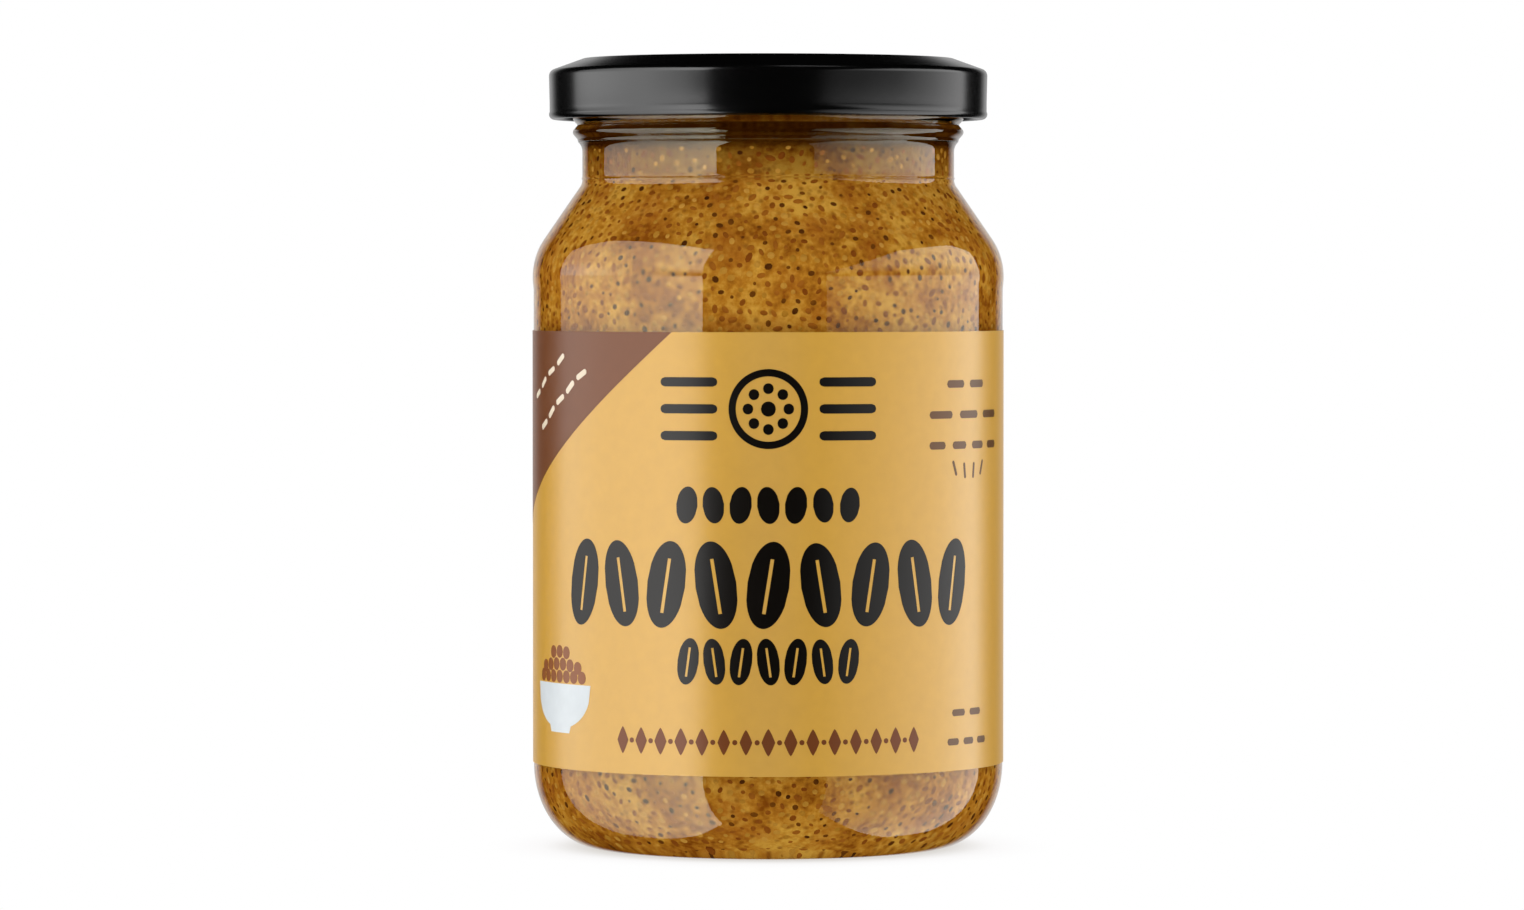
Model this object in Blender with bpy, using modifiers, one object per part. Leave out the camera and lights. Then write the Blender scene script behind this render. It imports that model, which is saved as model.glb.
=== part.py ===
"""A shut glass jar of wholegrain mustard, with a pressed metal lid and a wrap-round paper label.

Metres, +Z up. The origin is the middle of the ring that the jar stands on, and the label's front faces -Y.
Every round piece is a half outline of (radius, height) points, turned about +Z.
"""

import math
import random

import bmesh
import bpy
from mathutils import Matrix, Vector

# One turn has the same steps in every piece, so that the facets of neighbours lie parallel.
TURN_STEPS = 48

# Lid: a 53 mm twist-off cap, pressed from one sheet and rolled inwards at its lower edge.
LID_RADIUS = 0.0277
LID_BOTTOM = 0.0919
LID_TOP = 0.0996
LID_SHEET = 0.00045
LID_CORNER = 0.0009
LID_SHOULDER_DROP = 0.0013
LID_RIDGE_OUTER = 0.0238
LID_RIDGE_INNER = 0.0213
LID_PANEL_RADIUS = 0.0203
LID_PANEL_SINK = 0.0005
LID_CURL_RADIUS = 0.00065
LID_CURL_END_DEG = 120.0
LID_CURL_CLEAR = 0.0017

# Glass outside, from the mouth down.
MOUTH_HEIGHT = 0.0985
FINISH_RADIUS = 0.0240
BEAD_CORE = 0.0241
BEAD_SWELL = 0.0006
BEAD_HALF_HEIGHT = 0.0010
BEAD_HEIGHTS = (0.0921, 0.0903)
BEAD_SPAN_DEG = 52.0
NECK_RADIUS = 0.0235
NECK_TOP_BEND = (0.0006, 0.0016, 50.0)
SHOULDER_START = 0.0843
SHOULDER_BEND = (0.0037, 0.0165, 42.0)
BODY_RADIUS = 0.02975
PANEL_SINK = 0.00012
PANEL_TOP = 0.0684
HEEL_HEIGHT = 0.0104
STANDING_OUTER = 0.0215
STANDING_INNER = 0.0203
PUNT_EDGE = (0.0185, 0.0010)
PUNT_HEIGHT = 0.0016

# Glass inside.
BODY_WALL = 0.0022
MOUTH_RADIUS = 0.0209
LIP_RADIUS = 0.0009
FLOOR_RADIUS = 0.0190
FLOOR_HEIGHT = 0.0042
FLOOR_CROWN = (0.0095, 0.0006)
FLOOR_MIDDLE = 0.0008
INNER_HEEL_TOP = 0.0130

# Mustard: its skin is clear of the wall, and the seeds in it stand a little proud towards the glass.
FILL_LEVEL = 0.0935
MUSTARD_GAP = 0.0006
SEED_COUNT = 130
SEED_RADII = (0.0008, 0.0012)
SEED_FLATNESS = 0.5
SEED_PROUD = (0.00018, 0.0003)
SEED_SIDES = 6
SEED_RINGS = 4
SEED_DRAW = 11

# Label: paper round the body's flat panel, open in a narrow strip down the back.
LABEL_BOTTOM = 0.0108
LABEL_TOP = 0.0653
LABEL_GAP = 0.00015
LABEL_THICKNESS = 0.00015
LABEL_OPEN_STEPS = 1

AXIS_MERGE = 0.00001
SHARP_DEG = 40.0
GOLDEN_ANGLE = math.pi * (3.0 - math.sqrt(5.0))


def clear_scene():
    """Removes what the startup scene holds."""
    for old in list(bpy.data.objects):
        bpy.data.objects.remove(old)


def arc(centre, radii, start_deg, end_deg, steps):
    """Points along a round or elliptic arc; 0 degrees points away from the axis and 90 degrees up."""
    points = []
    for i in range(steps + 1):
        angle = math.radians(start_deg + (end_deg - start_deg) * i / steps)
        points.append((centre[0] + radii[0] * math.cos(angle), centre[1] + radii[1] * math.sin(angle)))
    return points


def s_bend(top, bottom_radius, bend, steps):
    """Points down an S between two upright walls: an arc, a straight slope and an arc the other way.

    top is where the upper wall ends, bottom_radius is the lower wall's radius, and bend holds the upper
    arc's radius, the lower arc's radius and the slope's angle off upright.
    """
    upper, lower, slope_deg = bend
    slope = math.radians(slope_deg)
    way = 1.0 if bottom_radius > top[0] else -1.0
    rise = abs(bottom_radius - top[0]) - (upper + lower) * (1.0 - math.cos(slope))
    straight = rise / math.sin(slope)
    end_height = top[1] - (upper + lower) * math.sin(slope) - straight * math.cos(slope)
    points = []
    for i in range(steps + 1):
        angle = slope * i / steps
        radius = top[0] + way * upper * (1.0 - math.cos(angle))
        points.append((radius, top[1] - upper * math.sin(angle)))
    for i in range(steps + 1):
        angle = slope * (steps - i) / steps
        radius = bottom_radius - way * lower * (1.0 - math.cos(angle))
        points.append((radius, end_height + lower * math.sin(angle)))
    return points


def glass_outside():
    """The jar's outer half outline, from the lip down to the middle of the punt."""
    points = arc((FINISH_RADIUS - LIP_RADIUS, MOUTH_HEIGHT - LIP_RADIUS), (LIP_RADIUS,) * 2, 90, 0, 2)
    for height in BEAD_HEIGHTS:
        swell = (BEAD_SWELL, BEAD_HALF_HEIGHT)
        points += arc((BEAD_CORE, height), swell, BEAD_SPAN_DEG, -BEAD_SPAN_DEG, 3)
    points += s_bend(points[-1], NECK_RADIUS, NECK_TOP_BEND, 2)
    points += s_bend((NECK_RADIUS, SHOULDER_START), BODY_RADIUS, SHOULDER_BEND, 4)
    panel = BODY_RADIUS - PANEL_SINK
    points += [(panel, PANEL_TOP)]
    heel = (panel - STANDING_OUTER, HEEL_HEIGHT)
    points += arc((STANDING_OUTER, HEEL_HEIGHT), heel, 0, -90, 7)
    points += [(STANDING_INNER, 0.0), PUNT_EDGE, (0.0, PUNT_HEIGHT)]
    return points


def cavity(gap=0.0):
    """The half outline of the jar's inside, from the neck down to the middle of its floor, less gap."""
    wall = BODY_WALL + gap
    mouth = MOUTH_RADIUS - gap
    body = BODY_RADIUS - wall
    neck_arc = SHOULDER_BEND[0] + NECK_RADIUS - mouth
    bend = (neck_arc, SHOULDER_BEND[1] - wall, SHOULDER_BEND[2])
    floor = FLOOR_HEIGHT + gap
    points = s_bend((mouth, SHOULDER_START), body, bend, 4)
    inner_heel = (body - FLOOR_RADIUS, INNER_HEEL_TOP - floor)
    points += arc((FLOOR_RADIUS, INNER_HEEL_TOP), inner_heel, 0, -90, 6)
    points += [(FLOOR_CROWN[0], floor + FLOOR_CROWN[1]), (0.0, floor + FLOOR_MIDDLE)]
    return points


def glass_outline():
    """The whole cross-section of the glass: up the inside, over the lip and down the outside."""
    lip = arc((MOUTH_RADIUS + LIP_RADIUS, MOUTH_HEIGHT - LIP_RADIUS), (LIP_RADIUS,) * 2, 180, 90, 2)[:-1]
    return cavity()[::-1] + lip + glass_outside()


def lid_outline():
    """The lid's cross-section: from the middle of the top, out and down the skirt, and back up inside."""
    side = LID_RADIUS
    corner_height = LID_TOP - LID_SHOULDER_DROP - LID_CORNER
    panel = LID_TOP - LID_PANEL_SINK
    outside = [(0.0, panel), (LID_PANEL_RADIUS, panel), (LID_RIDGE_INNER, LID_TOP)]
    outside += [(LID_RIDGE_OUTER, LID_TOP)]
    outside += arc((side - LID_CORNER, corner_height), (LID_CORNER,) * 2, 75, 0, 3)
    curl_centre = (side - LID_CURL_RADIUS, LID_BOTTOM + LID_CURL_RADIUS)
    outside += arc(curl_centre, (LID_CURL_RADIUS,) * 2, 0, -180, 4)
    outside += arc(curl_centre, (LID_CURL_RADIUS,) * 2, 180, LID_CURL_END_DEG, 1)[1:]
    inner = side - LID_SHEET
    inside = [(inner, LID_BOTTOM + LID_CURL_CLEAR)]
    inside += arc((inner - LID_CORNER, corner_height - LID_SHEET), (LID_CORNER,) * 2, 0, 75, 2)
    inside += [(LID_RIDGE_OUTER, LID_TOP - LID_SHEET), (LID_RIDGE_INNER + LID_SHEET, LID_TOP - LID_SHEET)]
    inside += [(LID_PANEL_RADIUS + LID_SHEET, panel - LID_SHEET), (0.0, panel - LID_SHEET)]
    return outside + inside


def mustard_outline():
    """The mustard's cross-section: the flat level in the neck, then the inside of the jar."""
    inside = cavity(MUSTARD_GAP)
    return [(0.0, FILL_LEVEL), (inside[0][0], FILL_LEVEL)] + inside


def turned(collection, name, outline, steps=TURN_STEPS, angle=math.tau):
    """A new object in the collection, whose outline is turned about +Z by a Screw modifier."""
    mesh = bpy.data.meshes.new(name)
    edges = [(i, i + 1) for i in range(len(outline) - 1)]
    mesh.from_pydata([(radius, 0.0, height) for radius, height in outline], edges, [])
    obj = bpy.data.objects.new(name, mesh)
    collection.objects.link(obj)
    screw = obj.modifiers.new("Turn", "SCREW")
    screw.axis = "Z"
    screw.angle = angle
    screw.steps = steps
    screw.render_steps = steps
    screw.use_merge_vertices = True
    screw.merge_threshold = AXIS_MERGE
    return obj


def frozen(obj):
    """Turns what the object's modifiers make into its own mesh."""
    bpy.context.view_layer.update()
    evaluated = obj.evaluated_get(bpy.context.evaluated_depsgraph_get())
    mesh = bpy.data.meshes.new_from_object(evaluated)
    obj.modifiers.clear()
    obj.data = mesh
    return obj


def material(name, colour, roughness, metallic=0.0, transmission=0.0, ior=1.5):
    """A Principled material with one colour."""
    made = bpy.data.materials.new(name)
    made.use_nodes = True
    shader = made.node_tree.nodes["Principled BSDF"]
    shader.inputs["Base Color"].default_value = (*colour, 1.0)
    shader.inputs["Roughness"].default_value = roughness
    shader.inputs["Metallic"].default_value = metallic
    shader.inputs["Transmission Weight"].default_value = transmission
    shader.inputs["IOR"].default_value = ior
    return made


def finish(obj, surface):
    """Gives the object its material and shades its round faces smooth."""
    obj.data.materials.clear()
    obj.data.materials.append(surface)
    obj.data.shade_smooth()
    obj.data.set_sharp_from_angle(angle=math.radians(SHARP_DEG))
    return obj


def shows(height):
    """Whether the mustard at this height can be seen, between the lid and the label or below the label."""
    return LABEL_TOP < height < LID_BOTTOM or height < LABEL_BOTTOM


def seed_places(outline, count):
    """Even places for count seeds on the bare stretches of a turned outline, as (point, outward normal).

    They lie a golden angle apart round the axis, and step along the outline by equal shares of its area.
    Those that the lid would hide are left out.
    """
    stretches = []
    total = 0.0
    for (r0, z0), (r1, z1) in zip(outline, outline[1:]):
        length = math.hypot(r1 - r0, z1 - z0)
        if length and shows((z0 + z1) / 2):
            total += length * (r0 + r1) / 2
            stretches.append((total, (r0, z0), (r1, z1), length))
    facet = math.tau / TURN_STEPS
    places = []
    for i in range(count):
        wanted = total * (i + 0.5) / count
        before = 0.0
        for upto, (r0, z0), (r1, z1), length in stretches:
            if wanted <= upto:
                break
            before = upto
        share = (wanted - before) / (upto - before)
        turn = i * GOLDEN_ANGLE
        # The turned surface is flat between its steps, so it lies nearer to the axis there.
        flat = math.cos(facet / 2) / math.cos(turn % facet - facet / 2)
        radius = (r0 + (r1 - r0) * share) * flat
        height = z0 + (z1 - z0) * share
        out = Vector((math.cos(turn), math.sin(turn), 0.0))
        # The outline runs down its outer side, so its outward normal is its direction turned left.
        normal = out * (z0 - z1) / length + Vector((0.0, 0.0, (r1 - r0) / length))
        if height < LID_BOTTOM:
            places.append((out * radius + Vector((0.0, 0.0, height)), normal))
    return places


def seeds(outline):
    """One small closed ball for each seed, pressed flat against the glass and sunk in the mustard."""
    draw = random.Random(SEED_DRAW)
    made = []
    for number, (point, normal) in enumerate(seed_places(outline, SEED_COUNT)):
        radius = draw.uniform(*SEED_RADII)
        half_thickness = radius * SEED_FLATNESS
        ball = bmesh.new()
        bmesh.ops.create_uvsphere(ball, u_segments=SEED_SIDES, v_segments=SEED_RINGS, radius=radius)
        mesh = bpy.data.meshes.new("seed")
        ball.to_mesh(mesh)
        ball.free()
        turn = normal.to_track_quat("Z", "Y").to_matrix().to_4x4()
        turn = turn @ Matrix.Rotation(draw.uniform(0.0, math.tau), 4, "Z")
        centre = point + normal * (draw.uniform(*SEED_PROUD) - half_thickness)
        mesh.transform(Matrix.Translation(centre) @ turn @ Matrix.Diagonal((1.0, 1.0, SEED_FLATNESS, 1.0)))
        made.append(bpy.data.objects.new(f"seed_{number}", mesh))
    return made


def fuse(core, pieces):
    """Joins the pieces into the core by one Boolean union, and removes them."""
    loose = bpy.data.collections.new("seeds_to_fuse")
    bpy.context.scene.collection.children.link(loose)
    for piece in pieces:
        loose.objects.link(piece)
    union = core.modifiers.new("Fuse", "BOOLEAN")
    union.operation = "UNION"
    union.operand_type = "COLLECTION"
    union.collection = loose
    union.solver = "MANIFOLD"
    frozen(core)
    for piece in pieces:
        bpy.data.objects.remove(piece)
    bpy.data.collections.remove(loose)
    return core


def glass_jar(collection):
    """The jar itself, open at its mouth."""
    obj = frozen(turned(collection, "glass_jar", glass_outline()))
    return finish(obj, material("clear_glass", (0.93, 0.96, 0.95), 0.03, transmission=1.0, ior=1.52))


def lid(collection):
    """The pressed lid over the mouth."""
    obj = frozen(turned(collection, "lid", lid_outline()))
    return finish(obj, material("black_lacquer", (0.012, 0.012, 0.013), 0.22))


def label(collection):
    """The paper label, open at the back."""
    radius = BODY_RADIUS - PANEL_SINK + LABEL_GAP
    step = math.tau / TURN_STEPS
    steps = TURN_STEPS - LABEL_OPEN_STEPS
    outline = [(radius, LABEL_TOP), (radius, LABEL_BOTTOM)]
    obj = turned(collection, "label", outline, steps, steps * step)
    obj.rotation_euler.z = math.pi / 2 + step * LABEL_OPEN_STEPS
    paper = obj.modifiers.new("Paper", "SOLIDIFY")
    paper.thickness = LABEL_THICKNESS
    paper.offset = 1.0
    return finish(frozen(obj), material("printed_paper", (0.69, 0.40, 0.075), 0.45))


def mustard(collection):
    """The mustard up to its level, with its seeds fused on."""
    core = frozen(turned(collection, "mustard", mustard_outline()))
    fuse(core, seeds(mustard_outline()))
    return finish(core, material("wholegrain_mustard", (0.36, 0.19, 0.045), 0.5))


def main():
    """Builds the jar and its pieces in one collection."""
    clear_scene()
    jar = bpy.data.collections.new("mustard_jar")
    bpy.context.scene.collection.children.link(jar)
    for make in (glass_jar, lid, label, mustard):
        make(jar)


main()
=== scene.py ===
"""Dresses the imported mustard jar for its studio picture.

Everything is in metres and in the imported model's frame: +Z is up, the jar stands on z = 0, its axis is the Z
axis and the label's front faces -Y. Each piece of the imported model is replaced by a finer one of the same
form. A place on the label is (along, up): the arc length from the front's middle, positive to the viewer's
right, and the height above the floor.
"""

from __future__ import annotations

import logging
import math
from collections.abc import Callable
from dataclasses import dataclass
from enum import Enum
from functools import partial

import bmesh
import bpy
from bpy.types import Material, Node, NodeOutputs, NodeSocket, NodeTree, Object
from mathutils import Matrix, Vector


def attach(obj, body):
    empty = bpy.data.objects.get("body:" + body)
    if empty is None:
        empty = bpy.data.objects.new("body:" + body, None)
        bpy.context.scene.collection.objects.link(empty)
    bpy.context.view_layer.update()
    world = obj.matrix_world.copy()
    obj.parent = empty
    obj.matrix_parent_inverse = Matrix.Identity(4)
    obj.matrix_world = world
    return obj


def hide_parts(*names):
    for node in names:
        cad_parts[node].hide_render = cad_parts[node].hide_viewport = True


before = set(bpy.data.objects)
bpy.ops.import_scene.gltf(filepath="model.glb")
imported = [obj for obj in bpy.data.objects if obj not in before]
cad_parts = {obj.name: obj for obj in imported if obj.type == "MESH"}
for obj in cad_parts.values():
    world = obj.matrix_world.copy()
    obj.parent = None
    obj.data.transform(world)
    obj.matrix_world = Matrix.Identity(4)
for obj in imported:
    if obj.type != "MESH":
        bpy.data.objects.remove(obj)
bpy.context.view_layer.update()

LOG = logging.getLogger("mustard_jar")
MM = 0.001
TOUCHING = 1e-6
BODY = "root"

Point = tuple[float, float]
Triple = tuple[float, float, float]
Colour = tuple[float, float, float, float]
Stops = tuple[tuple[float, str], ...]
AddNode = Callable[..., Node]


def linear(hex_colour: str) -> Colour:
    """Turns an sRGB hex colour into linear red, green, blue and alpha.

    Args:
        hex_colour: Six hex digits after a #.

    Returns:
        The linear colour, opaque.
    """
    channels = (int(hex_colour[i : i + 2], 16) / 255.0 for i in (1, 3, 5))
    red, green, blue = (c / 12.92 if c <= 0.04045 else ((c + 0.055) / 1.055) ** 2.4 for c in channels)
    return (red, green, blue, 1.0)


def per_mm(size_mm: float) -> float:
    """Returns the scale that gives a texture on Object coordinates features of this many millimetres."""
    return 1.0 / (size_mm * MM)


def add_node(
    tree: NodeTree, kind: str, inputs: dict | None = None, stops: Stops = (), **settings: object
) -> Node:
    """Adds one node with its settings, values and links. Sockets that its settings put away don't count.

    Args:
        tree: The tree that gets the node.
        kind: The node's type.
        inputs: Maps an input's name or number to its value, to the socket that feeds it, to a node whose
            first output feeds it, or to a list of such nodes.
        stops: A colour ramp's places from 0 to 1 with their sRGB hex colours.
        **settings: The node's own properties.

    Returns:
        The new node.
    """
    node = tree.nodes.new(kind)
    for name, value in settings.items():
        setattr(node, name, value)
    used = [socket for socket in node.inputs if socket.enabled]
    names = [socket.name for socket in used]
    for key, value in (inputs or {}).items():
        socket = used[key if isinstance(key, int) else names.index(key)]
        for source in value if isinstance(value, list) else [value]:
            if isinstance(source, Node):
                source = next(output for output in source.outputs if output.enabled)
            if isinstance(source, NodeSocket):
                tree.links.new(source, socket)
            else:
                socket.default_value = source
    while stops and len(node.color_ramp.elements) < len(stops):
        node.color_ramp.elements.new(0.5)
    for i, (place, colour) in enumerate(stops):
        node.color_ramp.elements[i].position = place
        node.color_ramp.elements[i].color = linear(colour)
    return node


def blank_material(name: str) -> tuple[Material, AddNode]:
    """Makes a material without nodes.

    Args:
        name: The material's name.

    Returns:
        The material, and add_node for its tree.
    """
    made = bpy.data.materials.new(name)
    made.use_nodes = True
    made.node_tree.nodes.clear()
    return made, partial(add_node, made.node_tree)


@dataclass(frozen=True)
class ClearGlass:
    """Flint glass, blown in a mould: colourless, with a fire-polished skin that is very slightly uneven."""

    name: str = "flint_glass_moulded"
    tint: str = "#F6FBF8"
    sheen: str = "#E6E1C8"
    ior: float = 1.57
    roughness: float = 0.012
    wave_mm: float = 7.0
    wave_depth: float = 0.2 * MM
    wave_strength: float = 0.02

    def build(self) -> Material:
        """Builds the glass. The lamps' light passes straight through it, so that what it holds is lit.

        Returns:
            The material.
        """
        made, add = blank_material(self.name)
        place = add("ShaderNodeTexCoord").outputs["Object"]
        wave = add("ShaderNodeTexNoise", {"Vector": place, "Scale": per_mm(self.wave_mm), "Detail": 1.0})
        relief = {"Height": wave, "Strength": self.wave_strength, "Distance": self.wave_depth}
        body = {
            "Base Color": linear(self.tint),
            "Roughness": self.roughness,
            "IOR": self.ior,
            "Specular Tint": linear(self.sheen),
            "Transmission Weight": 1.0,
            "Normal": add("ShaderNodeBump", relief),
        }
        glass = add("ShaderNodeBsdfPrincipled", body)
        clear = add("ShaderNodeBsdfTransparent", {"Color": linear(self.tint)})
        rays = add("ShaderNodeLightPath").outputs
        lighting = {0: rays["Is Shadow Ray"], 1: rays["Is Diffuse Ray"]}
        lit = add("ShaderNodeMath", lighting, operation="MAXIMUM")
        both = add("ShaderNodeMixShader", {0: lit, 1: glass, 2: clear})
        add("ShaderNodeOutputMaterial", {"Surface": both})
        return made


@dataclass(frozen=True)
class LidLacquer:
    """Black lacquer baked on pressed tinplate: glossy, with a faint orange peel that softens reflections."""

    name: str = "black_lacquer_on_tinplate"
    colour: str = "#050505"
    ior: float = 1.47
    roughness: float = 0.18
    haze: float = 0.02
    haze_mm: float = 14.0
    haze_from: Point = (0.3, 0.7)
    peel_mm: float = 0.9
    peel_depth: float = 0.05 * MM
    peel_strength: float = 0.05

    def build(self) -> Material:
        """Builds the lacquer.

        Returns:
            The material.
        """
        made, add = blank_material(self.name)
        place = add("ShaderNodeTexCoord").outputs["Object"]
        peel = add("ShaderNodeTexNoise", {"Vector": place, "Scale": per_mm(self.peel_mm), "Detail": 2.0})
        relief = {"Height": peel, "Strength": self.peel_strength, "Distance": self.peel_depth}
        haze = add("ShaderNodeTexNoise", {"Vector": place, "Scale": per_mm(self.haze_mm), "Detail": 3.0})
        start, end = self.haze_from
        low, high = self.roughness - self.haze, self.roughness + self.haze
        spread = {"Value": haze, "From Min": start, "From Max": end, "To Min": low, "To Max": high}
        body = {
            "Base Color": linear(self.colour),
            "Roughness": add("ShaderNodeMapRange", spread),
            "IOR": self.ior,
            "Normal": add("ShaderNodeBump", relief),
        }
        lacquer = add("ShaderNodeBsdfPrincipled", body)
        add("ShaderNodeOutputMaterial", {"Surface": lacquer})
        return made


@dataclass(frozen=True)
class CoatedPaper:
    """Coated label paper, offset printed in one flat colour and varnished: satin, with a trace of fibres.

    Real fibres are a tenth as thick as these, which are drawn coarser so that they show.
    """

    name: str
    colour: str
    ior: float
    roughness: float = 0.29
    fibre_mm: float = 0.35
    fibre_depth: float = 0.05 * MM
    fibre_strength: float = 0.03
    mottle_mm: float = 1.6
    mottle_from: Point = (0.25, 0.75)
    mottle: float = 0.03

    def build(self) -> Material:
        """Builds the printed paper. Its colour varies by a few parts in a hundred, as ink on paper does.

        Returns:
            The material.
        """
        made, add = blank_material(self.name)
        place = add("ShaderNodeTexCoord").outputs["Object"]
        blots = {"Vector": place, "Scale": per_mm(self.mottle_mm), "Detail": 4.0}
        mottle = add("ShaderNodeTexNoise", blots)
        start, end = self.mottle_from
        low, high = 1.0 - self.mottle, 1.0 + self.mottle
        spread = {"Value": mottle, "From Min": start, "From Max": end, "To Min": low, "To Max": high}
        value = add("ShaderNodeMapRange", spread)
        ink = add("ShaderNodeHueSaturation", {"Value": value, "Color": linear(self.colour)})
        threads = {"Vector": place, "Scale": per_mm(self.fibre_mm), "Detail": 3.0, "Distortion": 1.5}
        fibre = add("ShaderNodeTexNoise", threads)
        relief = {"Height": fibre, "Strength": self.fibre_strength, "Distance": self.fibre_depth}
        body = {
            "Base Color": ink,
            "Roughness": self.roughness,
            "IOR": self.ior,
            "Normal": add("ShaderNodeBump", relief),
        }
        paper = add("ShaderNodeBsdfPrincipled", body)
        add("ShaderNodeOutputMaterial", {"Surface": paper})
        return made


@dataclass(frozen=True)
class MustardPaste:
    """Coarse mustard pressed against glass: ground seed, hulls and oil, golden brown and unevenly mixed."""

    name: str = "coarse_mustard_paste"
    tones: Stops = ((0.36, "#87470C"), (0.5, "#B97722"), (0.63, "#D59B3C"))
    red: str = "#A15418"
    hull: str = "#763809"
    roughness: float = 0.5
    drift_mm: float = 6.0
    grain_mm: float = 1.0
    grain_share: float = 0.5
    blush_mm: float = 4.0
    blush_seed: float = 4.0
    blush_from: Point = (0.48, 0.68)
    blush_share: float = 0.45
    hull_mm: float = 1.3
    hull_from: Point = (0.34, 0.1)
    hull_share: float = 0.6
    # Painted shade: over these heights just under the lid, the paste's colour darkens as the lid's shadow
    # would darken it.
    lid_shade_heights: Point = (0.0830, 0.0930)
    lid_shade_tones: Stops = (
        (0.0, "#FFFFFF"),
        (0.2, "#D2CEC6"),
        (0.45, "#BCB6A6"),
        (0.56, "#8A7E69"),
        (0.66, "#5A4937"),
        (0.8, "#544533"),
        (0.92, "#9E8E76"),
    )

    def build(self) -> Material:
        """Builds the paste: drifts of yellow and red, fine grains and soft brown flecks of ground hull.

        Just under the lid it is darker: painted shade, standing in for the lid's shadow falling on the paste.

        Returns:
            The material.
        """
        made, add = blank_material(self.name)
        place = add("ShaderNodeTexCoord").outputs["Object"]
        drift = add("ShaderNodeTexNoise", {"Vector": place, "Scale": per_mm(self.drift_mm), "Detail": 2.0})
        fine = {"Vector": place, "Scale": per_mm(self.grain_mm), "Detail": 3.0, "Roughness": 0.6}
        grain = add("ShaderNodeTexNoise", fine)
        both = add("ShaderNodeMix", {"Factor": self.grain_share, "A": drift, "B": grain})
        colour = add("ShaderNodeValToRGB", {"Fac": both}, self.tones)
        spots = {"Vector": place, "Scale": per_mm(self.blush_mm), "Detail": 3.0, "W": self.blush_seed}
        patches = add("ShaderNodeTexNoise", spots, noise_dimensions="4D")
        cells = add("ShaderNodeTexVoronoi", {"Vector": place, "Scale": per_mm(self.hull_mm)})
        for pattern, (start, end), share, tone in (
            (patches, self.blush_from, self.blush_share, self.red),
            (cells, self.hull_from, self.hull_share, self.hull),
        ):
            reach = {"Value": pattern, "From Min": start, "From Max": end, "To Max": share}
            factor = add("ShaderNodeMapRange", reach)
            layers = {"Factor": factor, "A": colour, "B": linear(tone)}
            colour = add("ShaderNodeMix", layers, data_type="RGBA")
        # Painted shade: multiplies the paste's colour darker by height just under the lid, standing in for the
        # lid's shadow.
        height = add("ShaderNodeSeparateXYZ", {0: place}).outputs["Z"]
        low, high = self.lid_shade_heights
        rise = add("ShaderNodeMapRange", {"Value": height, "From Min": low, "From Max": high})
        painted_lid_shade = add("ShaderNodeValToRGB", {"Fac": rise}, self.lid_shade_tones)
        layers = {"Factor": 1.0, "A": colour, "B": painted_lid_shade}
        darkened = add("ShaderNodeMix", layers, data_type="RGBA", blend_type="MULTIPLY")
        body = {"Base Color": darkened, "Roughness": self.roughness, "Specular IOR Level": 0.0}
        paste = add("ShaderNodeBsdfPrincipled", body)
        add("ShaderNodeOutputMaterial", {"Surface": paste})
        return made


@dataclass(frozen=True)
class SeedHull:
    """The dry hull of a mustard seed: smooth and nearly matt, each seed a little lighter or darker."""

    name: str
    dark: str
    light: str
    roughness: float = 0.45
    skin_mm: float = 0.6
    skin_share: float = 0.35

    def build(self) -> Material:
        """Builds the hull, whose colour follows the tone that each seed carries.

        Returns:
            The material.
        """
        made, add = blank_material(self.name)
        tone = add("ShaderNodeAttribute", attribute_name=SeedScatter.TONE).outputs["Fac"]
        place = add("ShaderNodeTexCoord").outputs["Object"]
        skin = add("ShaderNodeTexNoise", {"Vector": place, "Scale": per_mm(self.skin_mm), "Detail": 2.0})
        both = add("ShaderNodeMix", {"Factor": self.skin_share, "A": tone, "B": skin})
        colour = add("ShaderNodeValToRGB", {"Fac": both}, ((0.1, self.dark), (0.8, self.light)))
        body = {"Base Color": colour, "Roughness": self.roughness, "Specular IOR Level": 0.0}
        hull = add("ShaderNodeBsdfPrincipled", body)
        add("ShaderNodeOutputMaterial", {"Surface": hull})
        return made


def arc(centre: Point, radii: Point, start_deg: float, end_deg: float, steps: int) -> list[Point]:
    """Gives points along a round or elliptic arc; 0 degrees points away from the axis and 90 degrees up.

    Args:
        centre: The arc's centre.
        radii: Its radii across and up.
        start_deg: The first point's angle.
        end_deg: The last point's angle.
        steps: How many chords the arc has.

    Returns:
        The arc's points, one more than its chords.
    """
    angles = (math.radians(start_deg + (end_deg - start_deg) * i / steps) for i in range(steps + 1))
    return [(centre[0] + radii[0] * math.cos(a), centre[1] + radii[1] * math.sin(a)) for a in angles]


def s_bend(top: Point, bottom_radius: float, bend: Triple, steps: int) -> list[Point]:
    """Gives points down an S between two upright walls: an arc, a straight slope and an arc the other way.

    Args:
        top: Where the upper wall ends.
        bottom_radius: The lower wall's radius.
        bend: The upper arc's radius, the lower arc's radius and the slope's angle off upright, in degrees.
        steps: How many chords each arc has.

    Returns:
        The points, from the upper wall to the lower one.
    """
    upper, lower, slope_deg = bend
    slope = math.radians(slope_deg)
    way = 1.0 if bottom_radius > top[0] else -1.0
    rise = abs(bottom_radius - top[0]) - (upper + lower) * (1.0 - math.cos(slope))
    straight = rise / math.sin(slope)
    end_height = top[1] - (upper + lower) * math.sin(slope) - straight * math.cos(slope)
    points = []
    for i in range(steps + 1):
        angle = slope * i / steps
        points.append((top[0] + way * upper * (1.0 - math.cos(angle)), top[1] - upper * math.sin(angle)))
    for i in range(steps + 1):
        angle = slope * (steps - i) / steps
        radius = bottom_radius - way * lower * (1.0 - math.cos(angle))
        points.append((radius, end_height + lower * math.sin(angle)))
    return points


Relief = Callable[[float, float, float], Point]


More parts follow.
